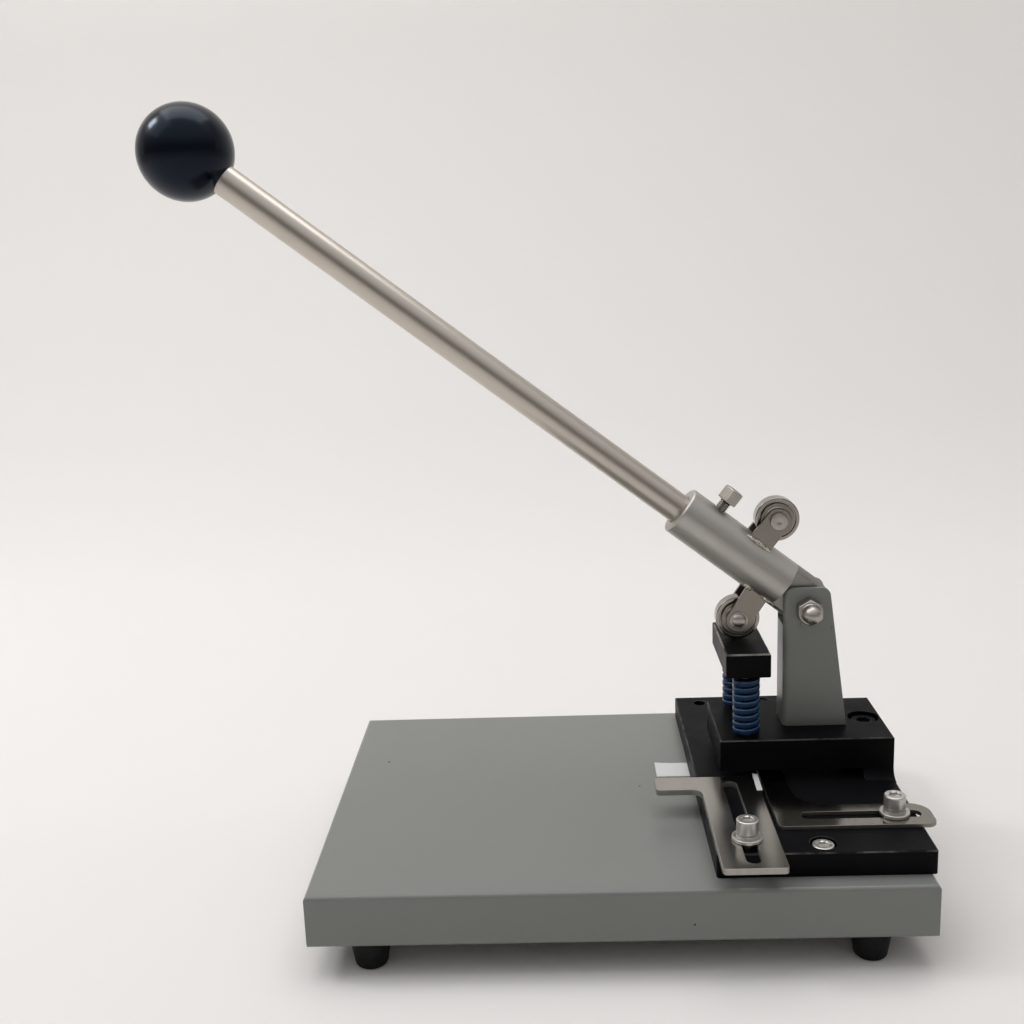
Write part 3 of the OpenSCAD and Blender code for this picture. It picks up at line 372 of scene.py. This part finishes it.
def weighted_normals(mesh, limit):
    """Corner normals averaged by face area, so that flats stay flat beside a rounded edge."""
    faces_at = [[] for _ in mesh.vertices]
    for face in mesh.polygons:
        for vertex in face.vertices:
            faces_at[vertex].append(face.index)
    normals = [face.normal.copy() for face in mesh.polygons]
    areas = [face.area for face in mesh.polygons]
    least = math.cos(math.radians(limit))
    corners = []
    for face in mesh.polygons:
        own = normals[face.index]
        for vertex in face.vertices:
            near = [i for i in faces_at[vertex] if own.dot(normals[i]) > least]
            corners.append(sum((normals[i] * areas[i] for i in near), own * 1e-9).normalized())
    mesh.normals_split_custom_set(corners)


def finish_mesh(name, bm, material, body, replaced=(), sharp=35):
    """Turns a bmesh into a piece that rides on a body."""
    mesh = bpy.data.meshes.new(name)
    bmesh.ops.recalc_face_normals(bm, faces=bm.faces)
    bm.to_mesh(mesh)
    bm.free()
    mesh.shade_smooth()
    weighted_normals(mesh, sharp)
    mesh.materials.append(material)
    piece = bpy.data.objects.new(name, mesh)
    bpy.context.scene.collection.objects.link(piece)
    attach(piece, body)
    for node in replaced:
        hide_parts(node)
    return piece


def stand_in(node, bm, material, sharp=35):
    """A finer form of a CAD node, on the node's body."""
    return finish_mesh(node + "_form", bm, material, nodes[node]["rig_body"], (node,), sharp)


def polar(rings, count, place, bm=None):
    """Surface of rings about Z. A ring is (radius, height), each a number or a function of the angle.
    Radius 0 makes a pole. The rings run from pole to pole, or close on themselves."""
    bm = bm or bmesh.new()
    rows = []
    for radius, height in rings:
        if radius == 0:
            rows.append([bm.verts.new(place @ Vector((0, 0, height * MM)))])
            continue
        row = []
        for i in range(count):
            a = 2 * math.pi * i / count
            r = radius(a) if callable(radius) else radius
            h = height(a) if callable(height) else height
            row.append(bm.verts.new(place @ Vector((r * math.cos(a) * MM, r * math.sin(a) * MM, h * MM))))
        rows.append(row)
    closed = len(rows[0]) > 1 and len(rows[-1]) > 1
    for lower, upper in zip(rows, rows[1:] + rows[:1] if closed else rows[1:]):
        for i in range(count):
            j = (i + 1) % count
            corners = [lower[i % len(lower)], lower[j % len(lower)],
                       upper[j % len(upper)], upper[i % len(upper)]]
            bm.faces.new(list(dict.fromkeys(corners)))
    return bm


def rounded(points, r, steps=4):
    """The same outline with its inner corners rounded."""
    out = [points[0]]
    for before, corner, after in zip(points, points[1:], points[2:]):
        b, c, a = Vector(before), Vector(corner), Vector(after)
        u, v = b - c, a - c
        turn = u.angle(v, math.pi)
        reach = min(r / max(math.tan(turn / 2), 1e-6), u.length * 0.45, v.length * 0.45)
        if turn > math.radians(170) or reach < 1e-6:
            out.append(corner)
            continue
        start, end = c + u.normalized() * reach, c + v.normalized() * reach
        for k in range(steps + 1):
            t = k / steps
            out.append(tuple(start * (1 - t) ** 2 + c * 2 * t * (1 - t) + end * t ** 2))
    return out + [points[-1]]


def mirrored(half):
    """A profile from the front to the middle, carried on to the back."""
    return half + [(r, -h) for r, h in reversed(half)]


def ring_profile(inner, outer, low, high, r):
    """Closed profile of a washer with rounded edges."""
    middle = (inner + outer) / 2
    corners = [(middle, low), (outer, low), (outer, high), (inner, high), (inner, low), (middle, low)]
    return rounded(corners, r)[:-1]


def hexagon(af):
    """Radius of a hexagon at an angle, with a corner at 0."""
    return lambda a: af / 2 / math.cos(a % (math.pi / 3) - math.pi / 6)


def chamfer_line(af, h, drop):
    """Height of a hexagon's chamfered edge at an angle: lowest at the corners."""
    outline = hexagon(af)
    return lambda a: h - drop * (outline(a) - af / 2) / (outline(0) - af / 2)


def hex_head(af, low, high, washer_r=None):
    """Rings of a hexagon head from its seat up to its top's rim, chamfered at the top."""
    side, eased = hexagon(af), hexagon(af * 0.985)
    return [
        (washer_r or af * 0.47, low), (eased, low + 0.25), (side, low + 0.5),
        (side, chamfer_line(af, high - 0.35, 0.7)), (eased, chamfer_line(af, high - 0.2, 0.6)),
        (af * 0.475, high),
    ]


# Rounding of the CAD solids' edges, in mm and degrees
SAME_POINT, SAME_FLAT = 0.002, 0.4
SHARP_TURN, FOLD_TURN = 28, 140
SHORT_EDGE, FOLD_REACH = 4, 1.2
STRIP_W = 1
# How steep, by the normal's height, a strip along an upper edge is
STRIP_SLOPE = (0.25, 0.97)
# A signed turn below this, in radians, makes an edge hollow
HOLLOW_TURN = -0.01


def cad_copy(node):
    """A CAD node's mesh with its flats made whole."""
    bm = bmesh.new()
    bm.from_mesh(nodes[node].data)
    bmesh.ops.remove_doubles(bm, verts=bm.verts, dist=SAME_POINT * MM)
    bmesh.ops.dissolve_limit(bm, angle_limit=math.radians(SAME_FLAT), verts=bm.verts, edges=bm.edges)
    return bm


def turned_more(bm, degrees):
    """Edges over which the surface turns more than this."""
    return [e for e in bm.edges if len(e.link_faces) == 2 and e.calc_face_angle(0) > math.radians(degrees)]


def middle_of(edge):
    return (edge.verts[0].co + edge.verts[1].co) / 2


def near_fold(edge, folds, round_ends):
    """Whether this edge lies where rounding folded. With round_ends only short edges count."""
    short = edge.calc_length() < SHORT_EDGE * MM
    spots = [v.co for v in edge.verts] + ([middle_of(edge)] if short else [])
    close = any((spot - fold).length < FOLD_REACH * MM for spot in spots for fold in folds)
    return close and (short or not round_ends)


def on_upper_edge(face):
    """Whether a face is a narrow strip that rounds or bevels an upper edge."""
    length = max(e.calc_length() for e in face.edges)
    along = [e for e in face.edges if e.calc_length() > length / 2 and len(e.link_faces) == 2]
    narrow = face.calc_area() < length * STRIP_W * MM
    sloping = STRIP_SLOPE[0] < face.normal.z < STRIP_SLOPE[1]
    return narrow and sloping and all(e.calc_face_angle_signed(0) > HOLLOW_TURN for e in along)


def dressed(node, material, width, wear_and_highlight=0.3):
    """A copy of a CAD node with its sharp edges rounded. An edge stays sharp where rounding would fold.
    Narrow strips along upper edges carry wear and a painted highlight in the attribute edge."""
    folds = []
    for attempt in range(4):
        bm = cad_copy(node)
        corners = [e for e in turned_more(bm, SHARP_TURN) if not near_fold(e, folds, attempt < 2)]
        bmesh.ops.bevel(bm, geom=corners, offset=width * MM, offset_type="OFFSET", segments=2, profile=0.5,
                        affect="EDGES", clamp_overlap=False)
        folded = [middle_of(e) for e in turned_more(bm, FOLD_TURN)]
        if not folded:
            break
        folds += folded
    layer = bm.faces.layers.float.new("edge")
    for face in bm.faces:
        if on_upper_edge(face):
            # Weight of rubbed wear and painted highlight on this strip
            face[layer] = wear_and_highlight
    return stand_in(node, bm, material, sharp=30)


# CAD pieces that keep their own mesh

for node, material in {
    "die_bush": ring_steel, "punch_pin": ring_steel, "handle_rod": rod_steel, "knob_insert": brass,
    "lower_inner_ring": ring_steel, "upper_inner_ring": ring_steel,
}.items():
    materials = nodes[node].data.materials
    materials.clear()
    materials.append(material)

# CAD pieces with their edges rounded

FEET = ["foot_" + end + side for end in ("front_", "rear_") for side in ("left", "right")]
FORKS = [fork + side for fork in ("lower_fork_", "upper_fork_") for side in ("front", "rear")]
POSTS = ["guide_post_front", "guide_post_rear"]
HIDDEN_SCREWS = ["foot_screws", "foot_nuts", "block_nuts", "bracket_screws"]
SMALL_ZINC = ["fence_lock_washer", "stop_lock_washer", "pivot_washer", "pivot_bolt"]

for names, material, width in (
    (["base_tray"], tray_paint, 0.2), (["die_block"], black, 0.25), (["lever_bracket"], bracket_paint, 0.22),
    (["fence_plate"], fence_steel, 0.25), (["end_stop_plate"], stop_steel, 0.2),
    (["lever_head"], bar_steel, 0.45), (FORKS, fork_steel, 0.2), (["backing_plate"], fork_steel, 0.3),
    (FEET, rubber_black, 0.5), (HIDDEN_SCREWS, zinc, 0.2), (SMALL_ZINC, zinc, 0.15),
    (POSTS, ring_steel, 0.3),
):
    for node in names:
        dressed(node, material, width)
# The crosshead's upper edges get the full rubbed wear and painted highlight
dressed("crosshead", black, 0.28, wear_and_highlight=1)


# Sides of round forms

SCREW_SIDES, PIN_SIDES, SIDE_WASHER_SIDES, ROLLER_SIDES, BALL_SIDES = 72, 64, 80, 96, 96


# Socket head cap screws

# Radii, head height and the socket's width across flats
M6 = {"shank": 3, "head": 5, "head_h": 6.5, "socket": 5}
M8 = {"shank": 4, "head": 6.5, "head_h": 8, "socket": 6}


def cap_screw(bm, x, y, bottom, top, kind):
    """A cap screw from its tip up to its rounded rim and down into the hexagon socket."""
    shank, head, socket = kind["shank"], kind["head"], kind["socket"]
    seat = top - kind["head_h"]
    floor = top - kind["head_h"] * 0.2
    mouth = socket / 2 / math.cos(math.pi / 6) + 0.15
    outside = [(0, bottom), (shank - 0.6, bottom), (shank, bottom + 0.6), (shank, seat)]
    rim = rounded([(shank, seat), (head, seat), (head, top), (mouth, top)], 0.8, 5)[1:]
    inside = [(hexagon(socket), top - 0.35), (hexagon(socket), floor),
              (socket * 0.42, floor), (0, floor - 0.5)]
    polar(outside + rim + inside, SCREW_SIDES, Matrix.Translation(Vector((x, y, 0)) * MM), bm)


for node, kind, material in (
    ("fence_screw_bolt", M6, zinc), ("stop_screw_bolt", M6, zinc), ("plate_screws", M6, zinc),
    ("block_screw", M8, black),
):
    low, high = box_mm(node)
    middle = (low + high) / 2
    pair = high.y - low.y > 3 * kind["head"]
    bm = bmesh.new()
    cap_screw(bm, middle.x, low.y + kind["head"] if pair else middle.y, low.z, high.z, kind)
    stand_in(node, bm, material)
    if pair:
        # The photograph shows no glint of the rear screw over the block, so it is a black one
        bm = bmesh.new()
        cap_screw(bm, middle.x, high.y - kind["head"], low.z, high.z, kind)
        rear = finish_mesh(node + "_rear_form", bm, black, nodes[node]["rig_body"], (node,))

WASHER_BORE_R = 3.25

for node in ("fence_washer", "stop_washer"):
    low, high = box_mm(node)
    middle = (low + high) / 2
    place = Matrix.Translation(Vector((middle.x, middle.y, 0)) * MM)
    ring = ring_profile(WASHER_BORE_R, (high.x - low.x) / 2, low.z, high.z, 0.45)
    stand_in(node, polar(ring, SCREW_SIDES, place), zinc)


# Pivot nut and clamp bolt

DOME_STEPS = 14


def acorn_nut(node, af, hex_h, dome_r):
    """Dome nut that points to the front, with a corner up."""
    low, high = box_mm(node)
    length = high.y - low.y
    neck = length - dome_r
    at_pivot = Matrix.Translation(Vector((PIVOT.x, high.y * MM, PIVOT.z)))
    corner_up = Matrix.Rotation(math.radians(90), 4, "Z")
    rings = [(0, 0)] + hex_head(af, 0, hex_h)
    rings += [(dome_r + 0.35, hex_h), (dome_r + 0.05, hex_h + 0.4), (dome_r, neck)]
    for k in range(1, DOME_STEPS):
        t = math.pi / 2 * k / DOME_STEPS
        rings.append((dome_r * math.cos(t), neck + dome_r * math.sin(t)))
    rings.append((0, length))
    stand_in(node, polar(rings, SCREW_SIDES, at_pivot @ FACING @ corner_up), pin_steel)


def clamp_screw(node, x, neck, af, head_h, thread_r, tip):
    """Hexagon screw square to the lever, with its thread in sight below the head."""
    on_bar = ON_LEVER @ Matrix.Translation(Vector((x, 0, BAR_RISE)) * MM)
    place = on_bar @ Matrix.Rotation(math.radians(15), 4, "Z")
    seat = BAR_R + neck
    top = seat + head_h
    pitch = 1.0
    root_r = thread_r - 0.5
    rings = [(0, tip), (root_r, tip)]
    for k in range(int((seat - tip) / pitch)):
        foot = tip + k * pitch
        rings += [(root_r, foot + 0.1), (thread_r, foot + 0.45),
                  (thread_r, foot + 0.6), (root_r, foot + 0.95)]
    rings += hex_head(af, seat, top, af * 0.46)
    rings += [(af * 0.4, top), (af * 0.36, top - 0.25), (0, top - 0.25)]
    stand_in(node, polar(rings, SCREW_SIDES, place), ring_steel)


acorn_nut("pivot_nut", af=12, hex_h=6.5, dome_r=4.7)
clamp_screw("clamp_bolt", x=-64.5, neck=4.5, af=10, head_h=7, thread_r=3, tip=7.6)


# Rollers on their pins

ROLLER_BORE_R = 6.05
PIN_R, PIN_BORE_R = 4, 4.05
SIDE_WASHER_T = 1.5


def facing_at(centre):
    """Place of a form whose axis points to the front."""
    return Matrix.Translation(centre) @ FACING


def roller(node, centre):
    """Ball bearing outside: rounded rim, groove and sunk shield."""
    low, high = box_mm(node)
    r, half, bore = (high.x - low.x) / 2, (high.y - low.y) / 2, ROLLER_BORE_R
    rim = rounded([(r - 1.8, half - 0.6), (r - 1.75, half), (r, half), (r, 0)], 0.7, 5)[:-1]
    shield = [(bore, half - 0.6), (bore + 0.3, half - 0.45), (r - 2.6, half - 0.45),
              (r - 2.4, half - 0.9), (r - 1.85, half - 0.9)]
    stand_in(node, polar(mirrored(shield + rim), ROLLER_SIDES, facing_at(centre)), ring_steel)


def side_washers(node, centre):
    """The two washers between the fork and the roller, each with a low raised ring."""
    low, high = box_mm(node)
    r, outside = (high.x - low.x) / 2, (high.y - low.y) / 2
    bore, start = PIN_BORE_R, 6
    bm = bmesh.new()
    for side in (-1, 1):
        near, far = side * (outside - SIDE_WASHER_T), side * outside
        low_face = near + side * SIDE_WASHER_T * 0.75
        corners = [(start, near), (r, near), (r, low_face), (r - 1.5, low_face), (r - 1.8, far),
                   (bore, far), (bore, near), (start, near)]
        polar(rounded(corners, 0.25)[:-1], SIDE_WASHER_SIDES, facing_at(centre), bm)
    stand_in(node, bm, fork_steel)


def pin(node, centre, end):
    """Roller pin with the same end at the front and the back."""
    low, high = box_mm(node)
    half = (high.y - low.y) / 2
    rings = [(r, half - sunk) for r, sunk in end] + [(PIN_R, 0.5)]
    stand_in(node, polar(mirrored(rings), PIN_SIDES, facing_at(centre)), pin_steel)


# Ends of the pins, from the middle out: radius and depth below the end
DIMPLE = ((0, 0.25), (0.5, 0.22), (1.0, 0.1), (1.5, 0.02), (2, 0))
FLAT_END = (*DIMPLE, (3.7, 0), (4.15, 0.2), (4.3, 0.6), (4.3, 2.1), (PIN_R, 2.15))
DOME = ((0, 0), (0.9, 0.03), (1.7, 0.14), (2.5, 0.4), (3.1, 0.8), (3.45, 1.35), (3.55, 1.6))
DOME_END = (*DOME, (4.3, 1.65), (4.5, 1.8), (4.5, 2.1), (PIN_R, 2.15))

roller("lower_roller", LOWER)
roller("upper_roller", UPPER)
side_washers("lower_side_washers", LOWER)
side_washers("upper_side_washers", UPPER)
pin("lower_pin", LOWER, DOME_END)
pin("upper_pin", UPPER, FLAT_END)


# Ball knob

BALL_STEPS = 60


def ball_knob(node, flat_r):
    """Ball turned flat where the rod enters, with a softened rim."""
    low, high = box_mm(node)
    r = (high.y - low.y) / 2
    face = math.sqrt(r * r - flat_r * flat_r)
    last = math.acos((flat_r + 0.35) / r)
    rings = [(0, -r)]
    for k in range(1, BALL_STEPS + 1):
        t = -math.pi / 2 + (last + math.pi / 2) * k / BALL_STEPS
        rings.append((r * math.cos(t), r * math.sin(t)))
    rings += [(flat_r + 0.12, face - 0.08), (flat_r - 0.2, face), (flat_r - 0.6, face), (0, face)]
    towards_rod = Matrix.Rotation(TILT + math.radians(90), 4, "Y")
    place = Matrix.Translation((low + high) / 2 * MM) @ towards_rod
    stand_in(node, polar(rings, BALL_SIDES, place), knob_black)


ball_knob("ball_knob", flat_r=8)


# Return springs

TURNS, WIRE_W, WIRE_H, END_PITCH = 8.5, 2.6, 2.7, 3.0
# Rings in a turn, corners of a ring, and the sides of it on the wire's upper outer corner, which carry the
# painted highlight
STEPS, SIDES = 40, 20
UPPER_CORNER = (1, 2, 3)
# The lower, the squarer the wire
SQUARENESS = 0.42


def wire_rise(t, length):
    """Height of the wire's middle after t turns: closer turns at both ends."""
    pitch = (length - WIRE_H - 2 * END_PITCH) / (TURNS - 2)
    if t < 1:
        return WIRE_H / 2 + t * END_PITCH
    if t > TURNS - 1:
        return length - WIRE_H / 2 - (TURNS - t) * END_PITCH
    return WIRE_H / 2 + END_PITCH + (t - 1) * pitch


def squared(value):
    """Bends a circle's sine or cosine towards a rounded square's."""
    return math.copysign(abs(value) ** SQUARENESS, value)


def coil_spring(node):
    """Flat wire helix between the block and the crosshead."""
    low, high = box_mm(node)
    middle = (low + high) / 2
    length = high.z - low.z
    radius = (high.y - low.y) / 2 - WIRE_W / 2
    bm = bmesh.new()
    layer = bm.faces.layers.float.new("edge")
    rings = []
    for i in range(int(TURNS * STEPS) + 1):
        t = i / STEPS
        a = 2 * math.pi * t
        ring = []
        for k in range(SIDES):
            b = 2 * math.pi * k / SIDES
            r = radius + WIRE_W / 2 * squared(math.cos(b))
            z = low.z + wire_rise(t, length) + WIRE_H / 2 * squared(math.sin(b))
            spot = Vector((middle.x + r * math.cos(a), middle.y + r * math.sin(a), z))
            ring.append(bm.verts.new(spot * MM))
        rings.append(ring)
    for ring, after in zip(rings, rings[1:]):
        for k in range(SIDES):
            j = (k + 1) % SIDES
            face = bm.faces.new((ring[k], after[k], after[j], ring[j]))
            # The upper corner faces carry the painted highlight
            face[layer] = 1.0 if k in UPPER_CORNER else 0.0
    bm.faces.new(rings[0])
    bm.faces.new(rings[-1][::-1])
    piece = stand_in(node, bm, blue, sharp=60)
    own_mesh(piece)


coil_spring("return_spring_front")
coil_spring("return_spring_rear")


# Weld beads at the roots of the forks

BEAD_STEPS, BEAD_SIDES = 48, 14
# Waves along a bead, in radians for each mm, and the shares of its radius that waves and lumps take
WAVES, WAVE_SHARE, LUMP_SHARE = 2.1, 0.18, 0.28


def weld_bead(name, start, end, r):
    """A rippled bead along a straight root, in lever coordinates."""
    start, end = Vector(start), Vector(end)
    along = (end - start).normalized()
    side = along.cross(Vector((0, 1, 0))).normalized()
    bm = bmesh.new()
    rings = []
    for i in range(BEAD_STEPS + 1):
        t = i / BEAD_STEPS
        spot = start.lerp(end, t)
        ripple = 0.82 + WAVE_SHARE * abs(math.sin(t * (end - start).length * WAVES))
        close = math.sin(math.pi * min(max(t, 0.02), 0.98)) ** 0.35
        ring = []
        for k in range(BEAD_SIDES):
            a = 2 * math.pi * k / BEAD_SIDES
            out = side * math.cos(a) + Vector((0, 1, 0)) * math.sin(a)
            lump = 1 + LUMP_SHARE * noise.noise((spot + out) * 0.9)
            ring.append(bm.verts.new(ON_LEVER @ ((spot + out * r * ripple * close * lump) * MM)))
        rings.append(ring)
    for ring, after in zip(rings, rings[1:]):
        for k in range(BEAD_SIDES):
            j = (k + 1) % BEAD_SIDES
            bm.faces.new((ring[k], ring[j], after[j], after[k]))
    bm.faces.new(rings[0])
    bm.faces.new(rings[-1])
    piece = finish_mesh(name, bm, weld, "lever", sharp=60)


# The forks' outer faces, from the lever's middle plane
FORK_FACE = 7.05
ROOT_RISE = math.sqrt(BAR_R ** 2 - FORK_FACE ** 2)
lower_x, upper_x = on_lever(LOWER).x, on_lever(UPPER).x
above, below = BAR_RISE + ROOT_RISE, BAR_RISE - ROOT_RISE
# Name, roller's place along the lever, root's height, the bead's start and end from the roller, its radius
BEADS = (
    ("upper_weld_", upper_x, above, -8, 6.6, 1.5),
    ("lower_weld_", lower_x, below, -9.5, -4.5, 1.5),
    ("lower_weld_tail_", lower_x, below, 1, 9.3, 1.1),
)

for side, face in (("front", -FORK_FACE), ("rear", FORK_FACE)):
    for name, x, height, start, end, r in BEADS:
        weld_bead(name + side, (x + start, face, height), (x + end, face, height), r)


# Blank paper: the sticker on the tray and the strip on the fence

# Cells along each side, and how high the lower face lies
CELLS, PAPER_T, PAPER_GAP = 14, 0.12, 0.02


def paper_piece(name, corner, size, turn, lift, body):
    """Thin paper lying flat with one corner a little lifted. The corner is its front left one."""
    place = Matrix.Translation(Vector(corner) * MM) @ Matrix.Rotation(math.radians(turn), 4, "Z")
    bm = bmesh.new()
    layers = []
    for base in (PAPER_GAP, PAPER_GAP + PAPER_T):
        grid = []
        for i in range(CELLS + 1):
            for j in range(CELLS + 1):
                u, v = i / CELLS, j / CELLS
                curl = lift * max(0, (1 - u) + v - 1.35) ** 2
                wave = 0.04 * (1 + noise.noise((u * 3, v * 3, lift)))
                spot = Vector((u * size[0], v * size[1], base + curl + wave))
                grid.append(bm.verts.new(place @ (spot * MM)))
        layers.append(grid)
    row = CELLS + 1
    for grid in layers:
        for i in range(CELLS):
            for j in range(CELLS):
                a = i * row + j
                bm.faces.new((grid[a], grid[a + row], grid[a + row + 1], grid[a + 1]))
    there, back = range(CELLS), range(CELLS, 0, -1)
    border = list(there) + [i * row + CELLS for i in there]
    border += [CELLS * row + j for j in back] + [i * row for i in back]
    lower, upper = layers
    for a, b in zip(border, border[1:] + border[:1]):
        bm.faces.new((lower[a], lower[b], upper[b], upper[a]))
    finish_mesh(name, bm, white_paper, body, sharp=50)


fence_high = box_mm("fence_plate")[1]
STICKER_AT, STICKER_SIZE = (26.3, 13.3, TRAY_TOP), (17.4, 16.6)
STRIP_AT, STRIP_SIZE = (fence_high.x - 1.9, fence_high.y - 16.5, fence_high.z), (2.7, 18.5)
paper_piece("tray_sticker", STICKER_AT, STICKER_SIZE, turn=0, lift=1.4, body="base")
paper_piece("fence_strip", STRIP_AT, STRIP_SIZE, turn=-1.5, lift=0.8, body="fence")


# Stage and light, in metres

SWEEP_Y, SWEEP_R, SWEEP_TOP, REACH = 0.55, 0.6, 4, 30
SWEEP_STEPS = 24


def stage_material():
    """Pale paper sweep. Its wall glows a little where it is seen, because less light reaches it."""
    s = Shader("backdrop", roughness=0.9, specular_ior_level=0.1, emission_color=(1, 0.975, 0.955))
    rise = s.node("SeparateXYZ", Vector=s.place()).outputs["Z"]
    return s.finish(
        base_color=s.mix(s.noise(1.4, 3), (0.89, 0.862, 0.838), (0.91, 0.882, 0.858)),
        emission_strength=s.math("MULTIPLY", s.seen(), s.ramp(rise, (0.1, 0), (0.9, 0.16))),
    )


def sweep():
    """Floor that bends up into a wall behind the press."""
    profile = [(-REACH, 0), (SWEEP_Y, 0)]
    for k in range(1, SWEEP_STEPS + 1):
        t = math.pi / 2 * k / SWEEP_STEPS
        profile.append((SWEEP_Y + SWEEP_R * math.sin(t), SWEEP_R - SWEEP_R * math.cos(t)))
    profile.append((SWEEP_Y + SWEEP_R, SWEEP_TOP))
    bm = bmesh.new()
    rows = [[bm.verts.new((x, y, z)) for x in (-REACH, REACH)] for y, z in profile]
    for a, b in zip(rows, rows[1:]):
        bm.faces.new((a[0], a[1], b[1], b[0]))
    mesh = bpy.data.meshes.new("backdrop")
    bm.to_mesh(mesh)
    bm.free()
    mesh.shade_smooth()
    mesh.materials.append(stage_material())
    backdrop = bpy.data.objects.new("backdrop", mesh)
    bpy.context.scene.collection.objects.link(backdrop)


sweep()


def area_light(name, where, target, size, power, colour=(1, 1, 1)):
    """A rectangular lamp that points at the target."""
    lamp = bpy.data.lights.new(name, "AREA")
    lamp.shape, lamp.size, lamp.size_y = "RECTANGLE", *size
    lamp.energy, lamp.color = power, colour
    made = bpy.data.objects.new(name, lamp)
    made.location = where
    made.rotation_euler = (Vector(target) - Vector(where)).to_track_quat("-Z", "Y").to_euler()
    bpy.context.scene.collection.objects.link(made)


area_light("key", (-1.25, -0.2, 1.6), (0, 0, 0.1), (1.5, 1.2), power=3.6, colour=(1, 0.985, 0.965))
area_light("window", (-1.14, 0.16, 1.25), (-0.1, 0, 0.25), (0.32, 0.32), power=4.2, colour=(0.94, 0.97, 1))
area_light("top", (-0.1, 0.6, 2.4), (0, 0.05, 0), (2.6, 2.0), power=32)

# Colour of the room by height, and how much brighter it looks than the light that it sheds
SKY = (
    (0, (0.075, 0.066, 0.058)),
    (0.22, (0.11, 0.103, 0.096)),
    (0.6, (0.4, 0.4, 0.4)),
    (1, (0.5, 0.51, 0.53)),
)
ROOM_GLOW = 0.7


def studio():
    """The room round the stage: dim and warm at the horizon, paler above."""
    world = bpy.data.worlds.new("studio")
    bpy.context.scene.world = world
    world.use_nodes = True
    room = Nodes(world.node_tree)
    background = room.tree.nodes["Background"]
    height = room.node("SeparateXYZ", Vector=room.node("TexCoord").outputs["Generated"]).outputs["Z"]
    room.put(background, "Color", room.ramp(height, *SKY))
    room.put(background, "Strength", room.math("MULTIPLY_ADD", room.seen(), ROOM_GLOW, 1))


studio()

# Camera of the photograph, solved from the tray's edges: place in mm, turns in degrees

CAMERA_AT = (-21.3, -593.2, 322.9)
CAMERA_YAW, CAMERA_PITCH, CAMERA_ROLL = -2.23, 12.74, 2.26
FOCAL_PX, PICTURE_PX, SENSOR = 1231, 1024, 36
# Farthest point that it sees, in metres
SIGHT = 50


def photo_camera():
    """The camera, turned to the side, down and about its own axis."""
    yaw, pitch, roll = (math.radians(v) for v in (CAMERA_YAW, CAMERA_PITCH, CAMERA_ROLL))
    forward = Vector((math.sin(yaw) * math.cos(pitch), math.cos(yaw) * math.cos(pitch), -math.sin(pitch)))
    level = Vector((math.cos(yaw), -math.sin(yaw), 0))
    down = forward.cross(level)
    right = level * math.cos(roll) + down * math.sin(roll)
    up = level * math.sin(roll) - down * math.cos(roll)
    turn = Matrix((right, up, -forward)).transposed().to_4x4()
    camera = bpy.data.objects.new("camera", bpy.data.cameras.new("camera"))
    camera.data.sensor_width = SENSOR
    camera.data.lens = FOCAL_PX * SENSOR / PICTURE_PX
    camera.data.clip_end = SIGHT
    camera.matrix_world = Matrix.Translation(Vector(CAMERA_AT) * MM) @ turn
    bpy.context.scene.collection.objects.link(camera)
    bpy.context.scene.camera = camera


photo_camera()
bpy.context.scene.view_settings.view_transform = "Standard"
